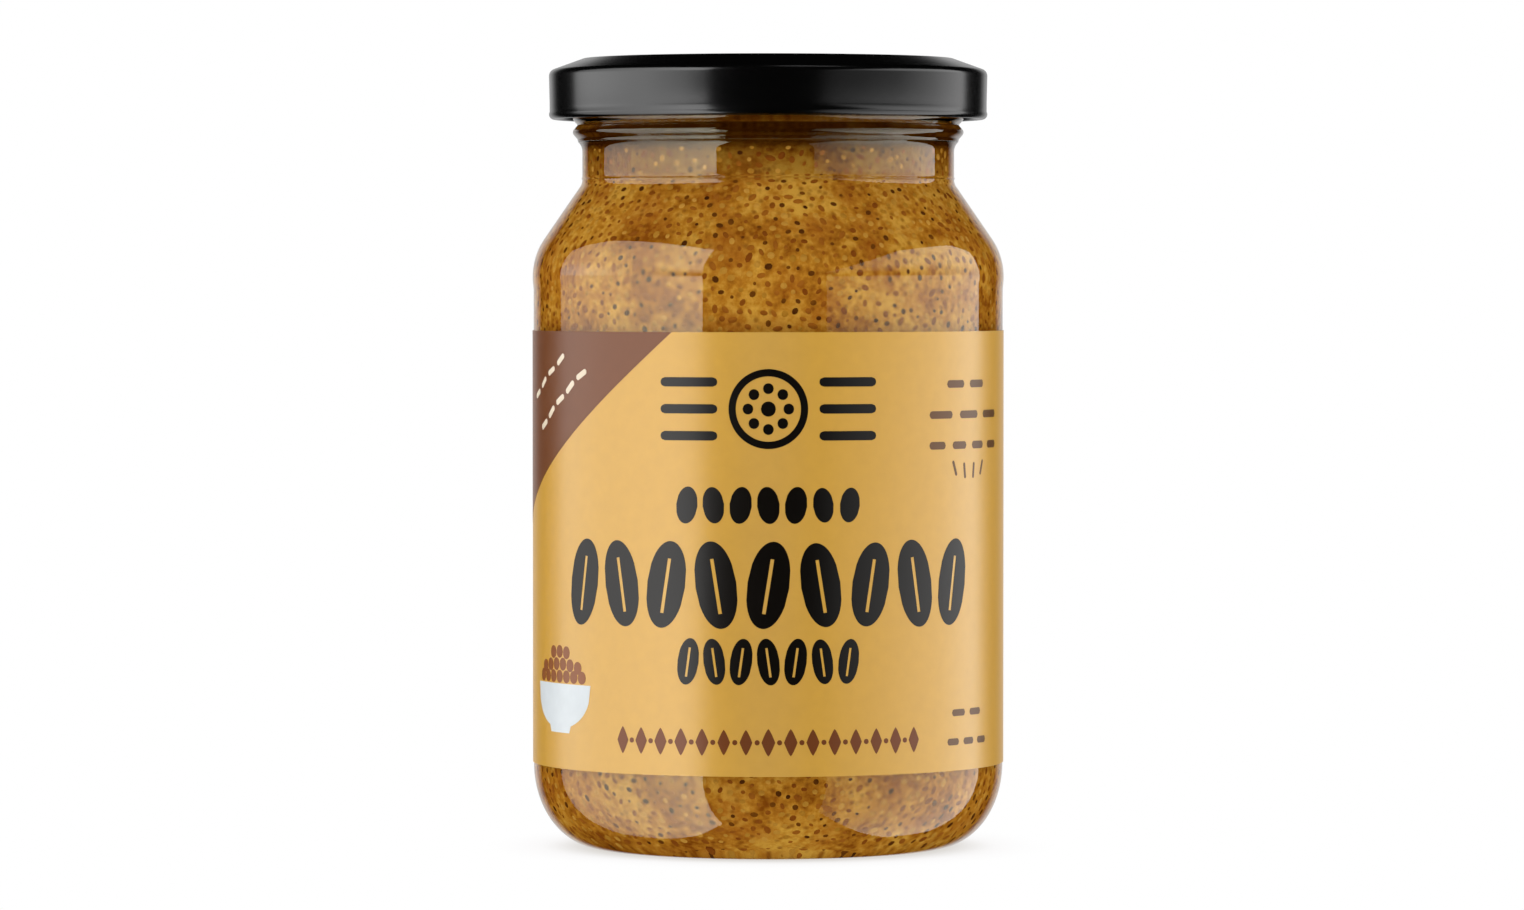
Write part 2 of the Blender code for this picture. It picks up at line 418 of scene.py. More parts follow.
def lathe(
    name: str,
    outline: list[Point],
    angles: list[float],
    whole: bool = True,
    relief: Relief | None = None,
) -> Object:
    """Turns an outline about the Z axis.

    Args:
        name: The new object's name.
        outline: Points of (radius, height) down the outer side; an end on the axis closes there.
        angles: Each column's turn from +X, in radians and rising.
        whole: Whether the last column joins the first.
        relief: Gives how far out and up to move the point at a radius, a height and a turn.

    Returns:
        The object, with its faces pointing out.
    """
    mesh = bmesh.new()
    rings = []
    steps = zip(outline, outline[1:])
    kept = outline[:1] + [point for last, point in steps if math.dist(last, point) > TOUCHING]
    for radius, height in kept:
        if radius == 0.0:
            rings.append([mesh.verts.new((0.0, 0.0, height))] * len(angles))
            continue
        ring = []
        for angle in angles:
            out, up = relief(radius, height, angle) if relief else (0.0, 0.0)
            place = ((radius + out) * math.cos(angle), (radius + out) * math.sin(angle), height + up)
            ring.append(mesh.verts.new(place))
        rings.append(ring)
    columns = len(angles) if whole else len(angles) - 1
    for upper, lower in zip(rings, rings[1:]):
        for i in range(columns):
            j = (i + 1) % len(angles)
            corners = [upper[i], lower[i], lower[j], upper[j]]
            mesh.faces.new(list(dict.fromkeys(corners)))
    return mesh_object(name, mesh)


def mesh_object(name: str, mesh: bmesh.types.BMesh) -> Object:
    """Puts a bmesh into a new object in the scene, and frees it.

    Args:
        name: The object's name.
        mesh: The faces.

    Returns:
        The object.
    """
    data = bpy.data.meshes.new(name)
    mesh.to_mesh(data)
    mesh.free()
    made = bpy.data.objects.new(name, data)
    bpy.context.scene.collection.objects.link(made)
    return made


def dress(piece: Object, finish: Material, sharp_deg: float = 35.0) -> Object:
    """Gives a piece its only material and shades it smooth between its sharp edges.

    Args:
        piece: The piece.
        finish: Its material.
        sharp_deg: Edges that turn more than this stay sharp.

    Returns:
        The piece.
    """
    piece.data.materials.clear()
    piece.data.materials.append(finish)
    piece.data.shade_smooth()
    piece.data.set_sharp_from_angle(angle=math.radians(sharp_deg))
    return piece


def even_turn(count: int) -> list[float]:
    """Returns this many even turns of a full circle, in radians."""
    return [math.tau * i / count for i in range(count)]


def run_nodes(name: str, tree: NodeTree, base: Object | None, values: dict) -> Object:
    """Runs a Geometry Nodes tree once and keeps what it makes as a plain mesh.

    Args:
        name: The new piece's name.
        tree: The tree.
        base: The object whose mesh the tree reads, and which becomes the new piece, or None.
        values: Maps each of the tree's input names to its value.

    Returns:
        The new piece, with no modifier.
    """
    if base is None:
        base = mesh_object(name, bmesh.new())
    base.name = name
    modifier = base.modifiers.new("Make", "NODES")
    modifier.node_group = tree
    sockets = {item.name: item.identifier for item in tree.interface.items_tree if item.in_out == "INPUT"}
    for key, value in values.items():
        modifier[sockets[key]] = value
    bpy.context.view_layer.update()
    made = bpy.data.meshes.new_from_object(base.evaluated_get(bpy.context.evaluated_depsgraph_get()))
    base.modifiers.clear()
    base.data = made
    return base


def new_geometry_tree(name: str, inputs: dict[str, str]) -> tuple[NodeTree, AddNode, NodeOutputs]:
    """Starts a Geometry Nodes tree with named inputs.

    Args:
        name: The tree's name.
        inputs: Maps each input's name to its socket type, without the NodeSocket in front.

    Returns:
        The tree, add_node for it, and the sockets that give its inputs.
    """
    tree = bpy.data.node_groups.new(name, "GeometryNodeTree")
    for title, kind in ({"Geometry": "Geometry"} | inputs).items():
        tree.interface.new_socket(title, in_out="INPUT", socket_type=f"NodeSocket{kind}")
    tree.interface.new_socket("Geometry", in_out="OUTPUT", socket_type="NodeSocketGeometry")
    add = partial(add_node, tree)
    return tree, add, add("NodeGroupInput").outputs


@dataclass
class GlassJar:
    """The blown glass: two beads under the lid, a short neck, a round shoulder, a label panel and a heel.

    Each bend holds what s_bend takes. The parting ridge is given as how far it stands out and half its
    height, and the punt's edge as a radius and a height.
    """

    mouth_height: float = 0.0985
    lip_radius: float = 0.0009
    finish_radius: float = 0.0240
    mouth_radius: float = 0.0209
    bead_core: float = 0.0241
    bead_swell: float = 0.0006
    bead_fullness: float = 0.6
    bead_half_height: float = 0.0009
    bead_heights: Point = (0.0921, 0.0903)
    neck_radius: float = 0.0235
    neck_top_bend: Triple = (0.0006, 0.0016, 50.0)
    shoulder_start: float = 0.0843
    shoulder_bend: Triple = (0.0015, 0.0088, 34.5)
    parting_ridge: Point = (0.00011, 0.00016)
    body_radius: float = 0.02975
    panel_sink: float = 0.00012
    panel_bend: Triple = (0.006, 0.006, 6.0)
    heel_height: float = 0.0104
    standing_outer: float = 0.0215
    standing_inner: float = 0.0203
    punt_edge: Point = (0.0185, 0.0010)
    punt_height: float = 0.0016
    wall: float = 0.0022
    floor_radius: float = 0.0190
    floor_height: float = 0.0042
    floor_middle: float = 0.0008
    inner_heel_top: float = 0.0130
    columns: int = 192
    seam_angles: Point = (0.0, math.pi)
    seam_width: float = 0.0004
    seam_height: float = 0.00004
    stipple_height: float = 0.00012
    steps: int = 14

    @property
    def panel_radius(self) -> float:
        """The radius of the flat panel under the label."""
        return self.body_radius - self.panel_sink

    def outside(self) -> list[Point]:
        """Gives the outer outline, from the lip down to the middle of the punt.

        Returns:
            Points of (radius, height).
        """
        lip_centre = (self.finish_radius - self.lip_radius, self.mouth_height - self.lip_radius)
        points = arc(lip_centre, (self.lip_radius,) * 2, 90, 0, 6)
        for height in self.bead_heights:
            points += self.bead(height)
        points += s_bend(points[-1], self.neck_radius, self.neck_top_bend, 5)
        out, half = self.parting_ridge
        line = self.shoulder_start + half
        wall_end = [(self.neck_radius, line + rise) for rise in (2 * half, half)]
        points += wall_end + [(self.neck_radius + out, line)]
        neck_end = (self.neck_radius, self.shoulder_start)
        points += s_bend(neck_end, self.body_radius, self.shoulder_bend, self.steps)
        panel = self.panel_radius
        points += s_bend(points[-1], panel, self.panel_bend, 3)
        heel = (panel - self.standing_outer, self.heel_height)
        points += arc((self.standing_outer, self.heel_height), heel, 0, -90, 2 * self.steps)
        punt_drop = self.punt_height - self.punt_edge[1]
        punt = arc((0.0, self.punt_edge[1]), (self.punt_edge[0], punt_drop), 0, 90, 6)[1:-1]
        points += [(self.standing_inner, 0.0), self.punt_edge] + punt + [(0.0, self.punt_height)]
        return points

    def bead(self, height: float, steps: int = 18) -> list[Point]:
        """Gives the points down one bead, whose swell rises and falls like a wave.

        Args:
            height: The height of the bead's crest.
            steps: How many chords it has.

        Returns:
            Points of (radius, height), from above the crest to below it.
        """
        points = []
        for i in range(steps + 1):
            share = 1.0 - 2.0 * i / steps
            swell = (0.5 + 0.5 * math.cos(math.pi * share)) ** self.bead_fullness
            points.append((self.bead_core + self.bead_swell * swell, height + self.bead_half_height * share))
        return points

    def inside(self, into_wall: float = 0.0) -> list[Point]:
        """Gives the cavity's outline, from the neck down to the middle of the floor.

        Args:
            into_wall: How far the outline lies inside the glass wall.

        Returns:
            Points of (radius, height).
        """
        wall = self.wall - into_wall
        mouth = self.mouth_radius + into_wall
        body = self.body_radius - wall
        upper, lower, slope_deg = self.shoulder_bend
        bend = (upper + self.neck_radius - mouth, lower - wall, slope_deg)
        floor = self.floor_height - into_wall
        points = s_bend((mouth, self.shoulder_start), body, bend, self.steps)
        heel = (body - self.floor_radius, self.inner_heel_top - floor)
        points += arc((self.floor_radius, self.inner_heel_top), heel, 0, -90, 2 * self.steps)
        points += arc((0.0, floor), (self.floor_radius, self.floor_middle), 0, 90, 6)[1:-1]
        return points + [(0.0, floor + self.floor_middle)]

    def turns(self) -> list[float]:
        """Gives the columns' turns: even ones, and three close ones at each mould seam.

        Returns:
            The turns in radians, rising.
        """
        step = self.seam_width / self.body_radius / 2
        extra = [seam + side * step for seam in self.seam_angles for side in (-1, 1)]
        return sorted({round(angle % math.tau, 6) for angle in even_turn(self.columns) + extra})

    def relief(self, radius: float, height: float, angle: float) -> Point:
        """Raises the two mould seams on the outside, and stipples the ring that the jar stands on.

        Args:
            radius: The point's radius.
            height: Its height.
            angle: Its turn.

        Returns:
            How far out and up to move it.
        """
        column = round(angle / math.tau * self.columns, 3)
        if height == 0.0:
            return (0.0, self.stipple_height if column % 2 == 1 else 0.0)
        on_seam = any(abs(angle - seam) < TOUCHING for seam in self.seam_angles)
        outer = radius > self.body_radius - self.wall / 2
        on_wall = outer and self.punt_height < height < self.shoulder_start
        return (self.seam_height if on_seam and on_wall else 0.0, 0.0)

    def build(self, finish: Material) -> Object:
        """Builds the jar.

        Args:
            finish: The glass.

        Returns:
            The finished piece.
        """
        lip_centre = (self.mouth_radius + self.lip_radius, self.mouth_height - self.lip_radius)
        lip = arc(lip_centre, (self.lip_radius,) * 2, 180, 90, 6)
        outline = self.inside()[::-1] + lip + self.outside()
        jar = dress(lathe("jar_glass", outline, self.turns(), relief=self.relief), finish)
        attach(jar, BODY)
        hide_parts("glass_jar")
        return jar


@dataclass
class PressedLid:
    """The twist-off lid: a cap pressed from tinplate, with a stepped top and its lower edge rolled in.

    The ridge on its top is given by its inner and outer radius.
    """

    radius: float = 0.0277
    bottom: float = 0.0919
    top: float = 0.0996
    sheet: float = 0.00045
    corner: float = 0.0009
    shoulder_drop: float = 0.0013
    ridge: Point = (0.0213, 0.0238)
    ridge_round: float = 0.0005
    panel_radius: float = 0.0203
    panel_sink: float = 0.0005
    curl: float = 0.00065
    waist: float = 0.00008
    waist_heights: Point = (3.2, 2.4)
    columns: int = 224

    def outline(self) -> list[Point]:
        """Gives the lid's section, from the middle of its top, down its skirt, round the curl and inside.

        The skirt draws in a little above the curl, at heights that are given in curls.

        Returns:
            Points of (radius, height).
        """
        corner_height = self.top - self.shoulder_drop - self.corner
        panel = self.top - self.panel_sink
        ridge_height = self.top - self.ridge_round
        corner, bend, curl = ((size,) * 2 for size in (self.corner, self.ridge_round, self.curl))
        points = [(radius, panel) for radius in (0.0, self.panel_radius / 2, self.panel_radius)]
        points += arc((self.ridge[0] + self.ridge_round, ridge_height), bend, 150, 90, 4)
        points += arc((self.ridge[1] - self.ridge_round, ridge_height), bend, 90, 64, 3)
        points += arc((self.radius - self.corner, corner_height), corner, 72, 0, 8)
        waist = self.radius - self.waist
        points += [(waist, self.bottom + share * self.curl) for share in self.waist_heights]
        points += arc((self.radius - self.curl, self.bottom + self.curl), curl, 30, -240, 18)
        inner = self.radius - self.sheet
        under = self.top - self.sheet
        points += [(inner, self.bottom + self.waist_heights[0] * self.curl)]
        points += arc((inner - self.corner, corner_height - self.sheet), corner, 0, 72, 5)
        points += [(self.ridge[1] - self.sheet, under), (self.ridge[0] + self.sheet, under)]
        return points + [(self.panel_radius + self.sheet, panel - self.sheet), (0.0, panel - self.sheet)]

    def build(self, finish: Material) -> Object:
        """Builds the lid.

        Args:
            finish: The lacquer.

        Returns:
            The finished piece.
        """
        lid = dress(lathe("pressed_lid", self.outline(), even_turn(self.columns)), finish, sharp_deg=50.0)
        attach(lid, BODY)
        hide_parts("lid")
        return lid


@dataclass(frozen=True)
class SeedLot:
    """One kind of seed: its draw from all the places, the range of its radii, and its greatest stretch."""

    draw: Point
    radii: Point
    stretch: float


class SeedKind(Enum):
    """The kinds of seed and hull that lie against the glass."""

    BLACK = SeedLot((0.0, 0.24), (0.00026, 0.00052), 1.4)
    BROWN = SeedLot((0.24, 0.7), (0.00028, 0.00056), 1.8)
    YELLOW = SeedLot((0.7, 1.0), (0.00036, 0.0006), 1.3)


@dataclass
class SeedScatter:
    """Whole seeds that lie against the glass, spread over the stretches of mustard that show.

    Flatness is a seed's thickness over its width, and proud is how far it stands out, in its own radii.
    """

    TONE = "tone"

    spacing: float = 0.00115
    flatness: float = 0.55
    proud: float = 0.2
    random_seed: int = 7
    most_in_a_square_metre: float = 4.0e6
    segments: int = 8
    rings: int = 5

    def tree(self) -> NodeTree:
        """Builds the tree: it spreads points over a surface and puts a flattened seed on those it draws.

        The same points are drawn for every kind of seed, and each kind keeps its own share of them, so
        that no two seeds lie on one another.

        Returns:
            The tree.
        """
        sizes = ("Spacing", "Smallest", "Largest", "Stretch", "Flatness", "Proud", "From", "To")
        inputs = dict.fromkeys(sizes, "Float") | {"Seed": "Int", "Finish": "Material"}
        tree, add, given = new_geometry_tree("seeds_on_glass", inputs)
        spread = {
            "Mesh": given["Geometry"],
            "Distance Min": given["Spacing"],
            "Density Max": self.most_in_a_square_metre,
            "Seed": given["Seed"],
        }
        points = add("GeometryNodeDistributePointsOnFaces", spread, distribute_method="POISSON")
        ranges = {
            "lot": (0.0, 1.0, 101),
            "spin": (0.0, math.tau, 102),
            "size": (given["Smallest"], given["Largest"], 103),
            "stretch": (1.0, given["Stretch"], 104),
            "tone": (0.0, 1.0, 105),
        }
        draw = {
            name: add("FunctionNodeRandomValue", {"Min": low, "Max": high, "Seed": seed})
            for name, (low, high, seed) in ranges.items()
        }
        above, below = (
            add("FunctionNodeCompare", {"A": draw["lot"], "B": given[end]}, operation=test)
            for end, test in (("From", "GREATER_EQUAL"), ("To", "LESS_THAN"))
        )
        chosen = add("FunctionNodeBooleanMath", {0: above, 1: below}, operation="AND")
        ball = add("GeometryNodeMeshUVSphere", {"Segments": self.segments, "Rings": self.rings})
        sunk = add("ShaderNodeMath", {0: given["Proud"], 1: given["Flatness"]}, operation="SUBTRACT")
        drop = add("ShaderNodeCombineXYZ", {"Z": sunk})
        squash = add("ShaderNodeCombineXYZ", {"X": 1.0, "Y": 1.0, "Z": given["Flatness"]})
        seed = add("GeometryNodeTransform", {"Geometry": ball, "Translation": drop, "Scale": squash})
        about = add("ShaderNodeCombineXYZ", {"Z": draw["spin"]})
        turning = {"Rotation": points.outputs["Rotation"], "Rotate By": about}
        turn = add("FunctionNodeRotateRotation", turning, rotation_space="LOCAL")
        long = add("ShaderNodeMath", {0: draw["size"], 1: draw["stretch"]}, operation="MULTIPLY")
        scale = add("ShaderNodeCombineXYZ", {"X": long, "Y": draw["size"], "Z": draw["size"]})
        copies = {"Points": points, "Selection": chosen, "Instance": seed, "Rotation": turn, "Scale": scale}
        placed = add("GeometryNodeInstanceOnPoints", copies)
        marks = {"Geometry": placed, "Name": self.TONE, "Value": draw["tone"]}
        toned = add("GeometryNodeStoreNamedAttribute", marks, domain="INSTANCE")
        real = add("GeometryNodeRealizeInstances", {"Geometry": toned})
        done = add("GeometryNodeSetMaterial", {"Geometry": real, "Material": given["Finish"]})
        add("NodeGroupOutput", {"Geometry": done})
        return tree

    def build(self, kind: SeedKind, surface: Object, tree: NodeTree, finish: Material) -> Object:
        """Spreads one kind of seed.

        Args:
            kind: Which seeds.
            surface: The stretches of mustard that show.
            tree: What tree() made.
            finish: The seeds' material.

        Returns:
            The finished piece.
        """
        lot = kind.value
        base = surface.copy()
        base.data = surface.data.copy()
        bpy.context.scene.collection.objects.link(base)
        values = {
            "Spacing": self.spacing,
            "Smallest": lot.radii[0],
            "Largest": lot.radii[1],
            "Stretch": lot.stretch,
            "Flatness": self.flatness,
            "Proud": self.proud,
            "From": lot.draw[0],
            "To": lot.draw[1],
            "Seed": self.random_seed,
            "Finish": finish,
        }
        seeds = dress(run_nodes(f"{kind.name.lower()}_seeds", tree, base, values), finish, sharp_deg=80.0)
        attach(seeds, BODY)
        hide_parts("mustard")
        return seeds


@dataclass
class MustardFill:
    """The mustard: it reaches just into the glass wall, up to a level that the lid hides."""

    jar: GlassJar
    level: float = 0.0935
    into_wall: float = 0.0001
    columns: int = 160
    rim: float = 0.0004
    bare_above: float = 0.0647
    bare_below: float = 0.0115
    seeds_below: float = 0.0882
    strip_columns: int = 6

    def outline(self) -> list[Point]:
        """Gives the mustard's outline, from the middle of its level down to the middle of its floor.

        Returns:
            Points of (radius, height).
        """
        inside = self.jar.inside(self.into_wall)
        edge = inside[0][0]
        return [(0.0, self.level), (edge - self.rim, self.level), (edge, self.level - self.rim)] + inside

    def build(self, finish: Material) -> Object:
        """Builds the paste.

        Args:
            finish: The paste's material.

        Returns:
            The finished piece.
        """
        paste = dress(lathe("mustard_paste", self.outline(), even_turn(self.columns)), finish)
        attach(paste, BODY)
        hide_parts("mustard")
        return paste

    def stretch(self, skin: list[Point], top: float, bottom: float) -> list[Point]:
        """Cuts a stretch between two heights out of an outline that runs downwards.

        Args:
            skin: The outline.
            top: The stretch's upper end.
            bottom: Its lower end.

        Returns:
            The stretch's points, with one at each end.
        """
        ends = []
        for height in (top, bottom):
            for (r0, z0), (r1, z1) in zip(skin, skin[1:]):
                if z1 <= height < z0:
                    ends.append((r0 + (r1 - r0) * (z0 - height) / (z0 - z1), height))
                    break
        return [ends[0]] + [point for point in skin if bottom < point[1] < top] + [ends[-1]]

    def bare_surface(self, opening: Point) -> Object:
        """Makes the stretches of the mustard's skin that show, for the seeds to lie on.

        Args:
            opening: The label's opening at the back, as two turns in radians.

        Returns:
            A helper object, which the caller removes.
        """
        skin = self.outline()[2:]
        upper = self.stretch(skin, self.seeds_below, self.bare_above)
        behind = self.stretch(skin, self.bare_above, self.bare_below)
        lower = self.stretch(skin, self.bare_below, self.jar.floor_height)
        turns = even_turn(self.columns)
        start, end = opening
        strip = [start + (end - start) * i / self.strip_columns for i in range(self.strip_columns + 1)]
        whole = [lathe("upper_skin", upper, turns), lathe("lower_skin", lower, turns)]
        whole.append(lathe("behind_skin", behind, strip, whole=False))
        joined = bmesh.new()
        for patch in whole:
            joined.from_mesh(patch.data)
            bpy.data.objects.remove(patch)
        return mesh_object("bare_skin", joined)


@dataclass(frozen=True)
class InkFilm:
    """A dried ink on the coated paper: its sRGB colour, and its refractive index, lower for a dull ink."""

    colour: str
    ior: float


class Ink(Enum):
    """The label's printing inks. The dark ones dry duller than the yellow that covers the paper."""

    YELLOW = InkFilm("#CC9A2F", 1.6)
    BROWN = InkFilm("#6F3F1E", 1.38)
    BLACK = InkFilm("#0C0805", 1.32)
    RUST = InkFilm("#6C360C", 1.37)
    UMBER = InkFilm("#5E3A10", 1.37)
    CREAM = InkFilm("#E6D6BC", 1.45)
    MILK = InkFilm("#D2D8DB", 1.45)
    CLAY = InkFilm("#874B1E", 1.38)


@dataclass
class PaperLabel:
    """The wrap-round label: yellow coated paper with a brown field, open in a narrow strip at the back."""

    glass_radius: float
    bottom: float = 0.0108
    top: float = 0.0653
    gap: float = 0.00003
    thickness: float = 0.00012
    opening_deg: Point = (90.0, 97.5)
    columns: int = 200

    @property
    def radius(self) -> float:
        """The printed face's radius."""
        return self.glass_radius + self.gap + self.thickness

    @property
    def opening(self) -> Point:
        """The opening's two turns, in radians."""
        return (math.radians(self.opening_deg[0]), math.radians(self.opening_deg[1]))

    def build(self, finish: Material) -> Object:
        """Builds the paper.

        Args:
            finish: The paper's material.

        Returns:
            The finished piece.
        """
        inner, outer = self.glass_radius + self.gap, self.radius
        start = self.opening[1]
        sweep = math.tau - (self.opening[1] - self.opening[0])
        angles = [start + sweep * i / self.columns for i in range(self.columns + 1)]
        mesh = bmesh.new()
        corners = ((outer, self.top), (outer, self.bottom), (inner, self.bottom), (inner, self.top))
        columns = []
        for angle in angles:
            places = [(r * math.cos(angle), r * math.sin(angle), z) for r, z in corners]
            columns.append([mesh.verts.new(place) for place in places])
        for left, right in zip(columns, columns[1:]):
            for i in range(4):
                j = (i + 1) % 4
                mesh.faces.new([left[i], left[j], right[j], right[i]])
        mesh.faces.new(columns[0][::-1])
        mesh.faces.new(columns[-1])
        label = dress(mesh_object("label_paper", mesh), finish)
        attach(label, BODY)
        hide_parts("label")
        return label


Edge = Callable[[float], float]


def flat_shape(start: float, end: float, low: Edge, high: Edge, columns: int = 0, rows: int = 0) -> Object:
    """Makes a flat shape in the XY plane between two edges, fine enough to be wrapped round the jar.

    Args:
        start: Where the shape begins, along X.
        end: Where it ends.
        low: Gives its lower edge at an X.
        high: Gives its upper edge at an X.
        columns: How many cells it has along X; at least as many as its length needs.
        rows: How many cells it has along Y; at least one for each millimetre, up to a dozen.

    Returns:
        A helper object.
    """
    mesh = bmesh.new()
    across = max(columns, math.ceil((end - start) / MM))
    places = [start + (end - start) * i / across for i in range(across + 1)]
    tallest = max(high(x) - low(x) for x in places)
    up = max(rows, min(12, math.ceil(tallest / MM)), 1)
    stacks = []
    for x in places:
        bottom, top = low(x), high(x)
        if top - bottom < TOUCHING:
            stacks.append([mesh.verts.new((x, bottom, 0.0))] * (up + 1))
            continue
        stacks.append([mesh.verts.new((x, bottom + (top - bottom) * j / up, 0.0)) for j in range(up + 1)])
    for left, right in zip(stacks, stacks[1:]):
        for j in range(up):
            corners = dict.fromkeys([left[j], right[j], right[j + 1], left[j + 1]])
            if len(corners) > 2:
                mesh.faces.new(list(corners))
    return mesh_object("flat_shape", mesh)


def joined_shape(shapes: list[Object]) -> Object:
    """Joins flat shapes into one and removes them.

    Args:
        shapes: The shapes.

    Returns:
        A helper object.
    """
    joined = bmesh.new()
    for shape in shapes:
        joined.from_mesh(shape.data)
        bpy.data.objects.remove(shape)
    return mesh_object("flat_shape", joined)


def even_shape(width: float, half: Edge, columns: int = 0, rows: int = 0) -> Object:
    """Makes a flat shape that is the same above and below the X axis.

    Args:
        width: Its width, half on either side of the Y axis.
        half: Gives half its height at an X.
        columns: How many cells it has along X.
        rows: How many cells it has along Y.

    Returns:
        A helper object.
    """
    return flat_shape(-width / 2, width / 2, lambda x: -half(x), half, columns, rows)


def block_shape(width: float, height: float) -> Object:
    """Returns a flat block with square corners."""
    return even_shape(width, lambda x: height / 2)


def dot_shape(radius: float, middle: Point = (0.0, 0.0), tallness: float = 1.0) -> Object:
    """Makes a flat round dot.

    Args:
        radius: Half its width.
        middle: Where its middle is.
        tallness: Its height over its width, above 1 for an upright oval.

    Returns:
        A helper object.
    """

    def half(x: float) -> float:
        """Half the dot's height at an X."""
        return tallness * math.sqrt(max(0.0, radius**2 - (x - middle[0]) ** 2))

    start, end = middle[0] - radius, middle[0] + radius
    return flat_shape(start, end, lambda x: middle[1] - half(x), lambda x: middle[1] + half(x), 18, 2)


def seed_shape(radius: float) -> Object:
    """Returns a drawn seed: an upright oval, this far across to either side."""
    return dot_shape(radius, tallness=1.65)


def dash_shape(length: float, thickness: float) -> Object:
    """Makes a flat bar with round ends.

    Args:
        length: The bar's whole length.
        thickness: Its height.

    Returns:
        A helper object.
    """
    end = thickness / 2

    def half(x: float) -> float:
        """Half the bar's height at an X."""
        past = max(0.0, abs(x) - (length / 2 - end))
        return math.sqrt(max(0.0, end**2 - past**2))

    return even_shape(length, half, math.ceil(6 * length / thickness), 2)


def stroke_shape(height: float, thickness: float) -> Object:
    """Makes a flat upright stroke with round ends.

    Args:
        height: The stroke's whole height.
        thickness: Its width.

    Returns:
        A helper object.
    """
    end = thickness / 2

    def half(x: float) -> float:
        """Half the stroke's height at an X."""
        return height / 2 - end + math.sqrt(max(0.0, end**2 - x**2))

    return even_shape(thickness, half, 8, math.ceil(height / MM))


def grain_shape(width: float, height: float, crease: float, fullness: float = 0.92) -> Object:
    """Makes a plump upright grain with a crease along its middle.

    Args:
        width: The grain's width.
        height: Its height.
        crease: The crease's width.
        fullness: How plump it is; 1 is an oval, and less is fuller.

    Returns:
        A helper object.
    """

    def reach(x: float) -> float:
        """Half the grain's height at an X."""
        share = min(1.0, abs(x) / (width / 2))
        return height / 2 * math.sqrt(1.0 - share**2) ** fullness

    def foot(x: float) -> float:
        """The grain's lower edge at an X."""
        return -reach(x)

    half = crease / 2
    crease_top, crease_foot = 0.3 * height, -0.33 * height
    left = flat_shape(-width / 2, -half, foot, reach, 12)
    right = flat_shape(half, width / 2, foot, reach, 12)
    above = flat_shape(-half, half, lambda x: crease_top, reach, 2)
    below = flat_shape(-half, half, foot, lambda x: crease_foot, 2)
    return joined_shape([left, right, above, below])


def lozenge_shape(width: float, height: float, bow: float = 1.3) -> Object:
    """Returns a flat upright lozenge, whose sides are straight at a bow of 1 and bulge above it."""
    return even_shape(width, lambda x: height / 2 * (1.0 - (2 * abs(x) / width) ** bow), 10)


def ring_shape(outer: float, inner: float, columns: int = 72) -> Object:
    """Makes a flat round ring.

    Args:
        outer: Its outer radius.
        inner: Its inner radius.
        columns: How many chords it has.

    Returns:
        A helper object.
    """
    mesh = bmesh.new()
    rings = []
    turns = even_turn(columns)
    for radius in (inner, (inner + outer) / 2, outer):
        rings.append([mesh.verts.new((radius * math.cos(a), radius * math.sin(a), 0.0)) for a in turns])
    for low, high in zip(rings, rings[1:]):
        for i in range(columns):
            j = (i + 1) % columns
            mesh.faces.new([low[i], high[i], high[j], low[j]])
    return mesh_object("flat_shape", mesh)


def rosette_shape(dot: float, reach: float, count: int = 8, heart: float = 1.4) -> Object:
    """Makes a ring of dots about a larger one.

    Args:
        dot: Each dot's radius.
        reach: How far their middles are from the middle.
        count: How many there are.
        heart: The middle dot's radius, in radii of the others.

    Returns:
        A helper object.
    """
    dots = [dot_shape(heart * dot)]
    for angle in even_turn(count):
        dots.append(dot_shape(dot, (reach * math.sin(angle), reach * math.cos(angle))))
    return joined_shape(dots)


def bowl_shape(
    width: float, depth: float, foot: float, foot_drop: float = 0.09, fullness: float = 0.8
) -> Object:
    """Makes a bowl seen from the side, with its rim at the top and a flat foot.

    Args:
        width: The bowl's width at its rim.
        depth: Its height without the foot.
        foot: The foot's width.
        foot_drop: The foot's height, as a share of the depth.
        fullness: How round its sides are; 1 is an oval, and less is fuller.

    Returns:
        A helper object.
    """

    def bottom(x: float) -> float:
        """The bowl's lower edge at an X."""
        round_side = -depth * math.sqrt(max(0.0, 1.0 - (2 * x / width) ** 2)) ** fullness
        return -depth - foot_drop * depth if abs(x) < foot / 2 else round_side

    return flat_shape(-width / 2, width / 2, bottom, lambda x: 0.0, 40)


@dataclass(frozen=True)
class PrintRow:
    """A row of one shape on the label: what it shows, its ink, and where and how its copies stand.

    Lean turns every other copy one way and the rest the other way, fan turns each a little more than the
    last, arch lowers the outer ones, and turn swings the whole row. Unevenness is the share by which a
    copy may be smaller, and a higher layer lies on a lower one. Lengths, and the sizes that the shape is
    made with, are in millimetres. Angles are in degrees.
    """

    name: str
    shape: Callable[..., Object]
    sizes: tuple[float, ...]
    ink: Ink
    along: float = 0.0
    up: float = 0.0
    count: int = 1
    pitch: float = 0.0
    lean: float = 0.0
    fan: float = 0.0
    arch: float = 0.0
    turn: float = 0.0
    unevenness: float = 0.0
    layer: int = 0


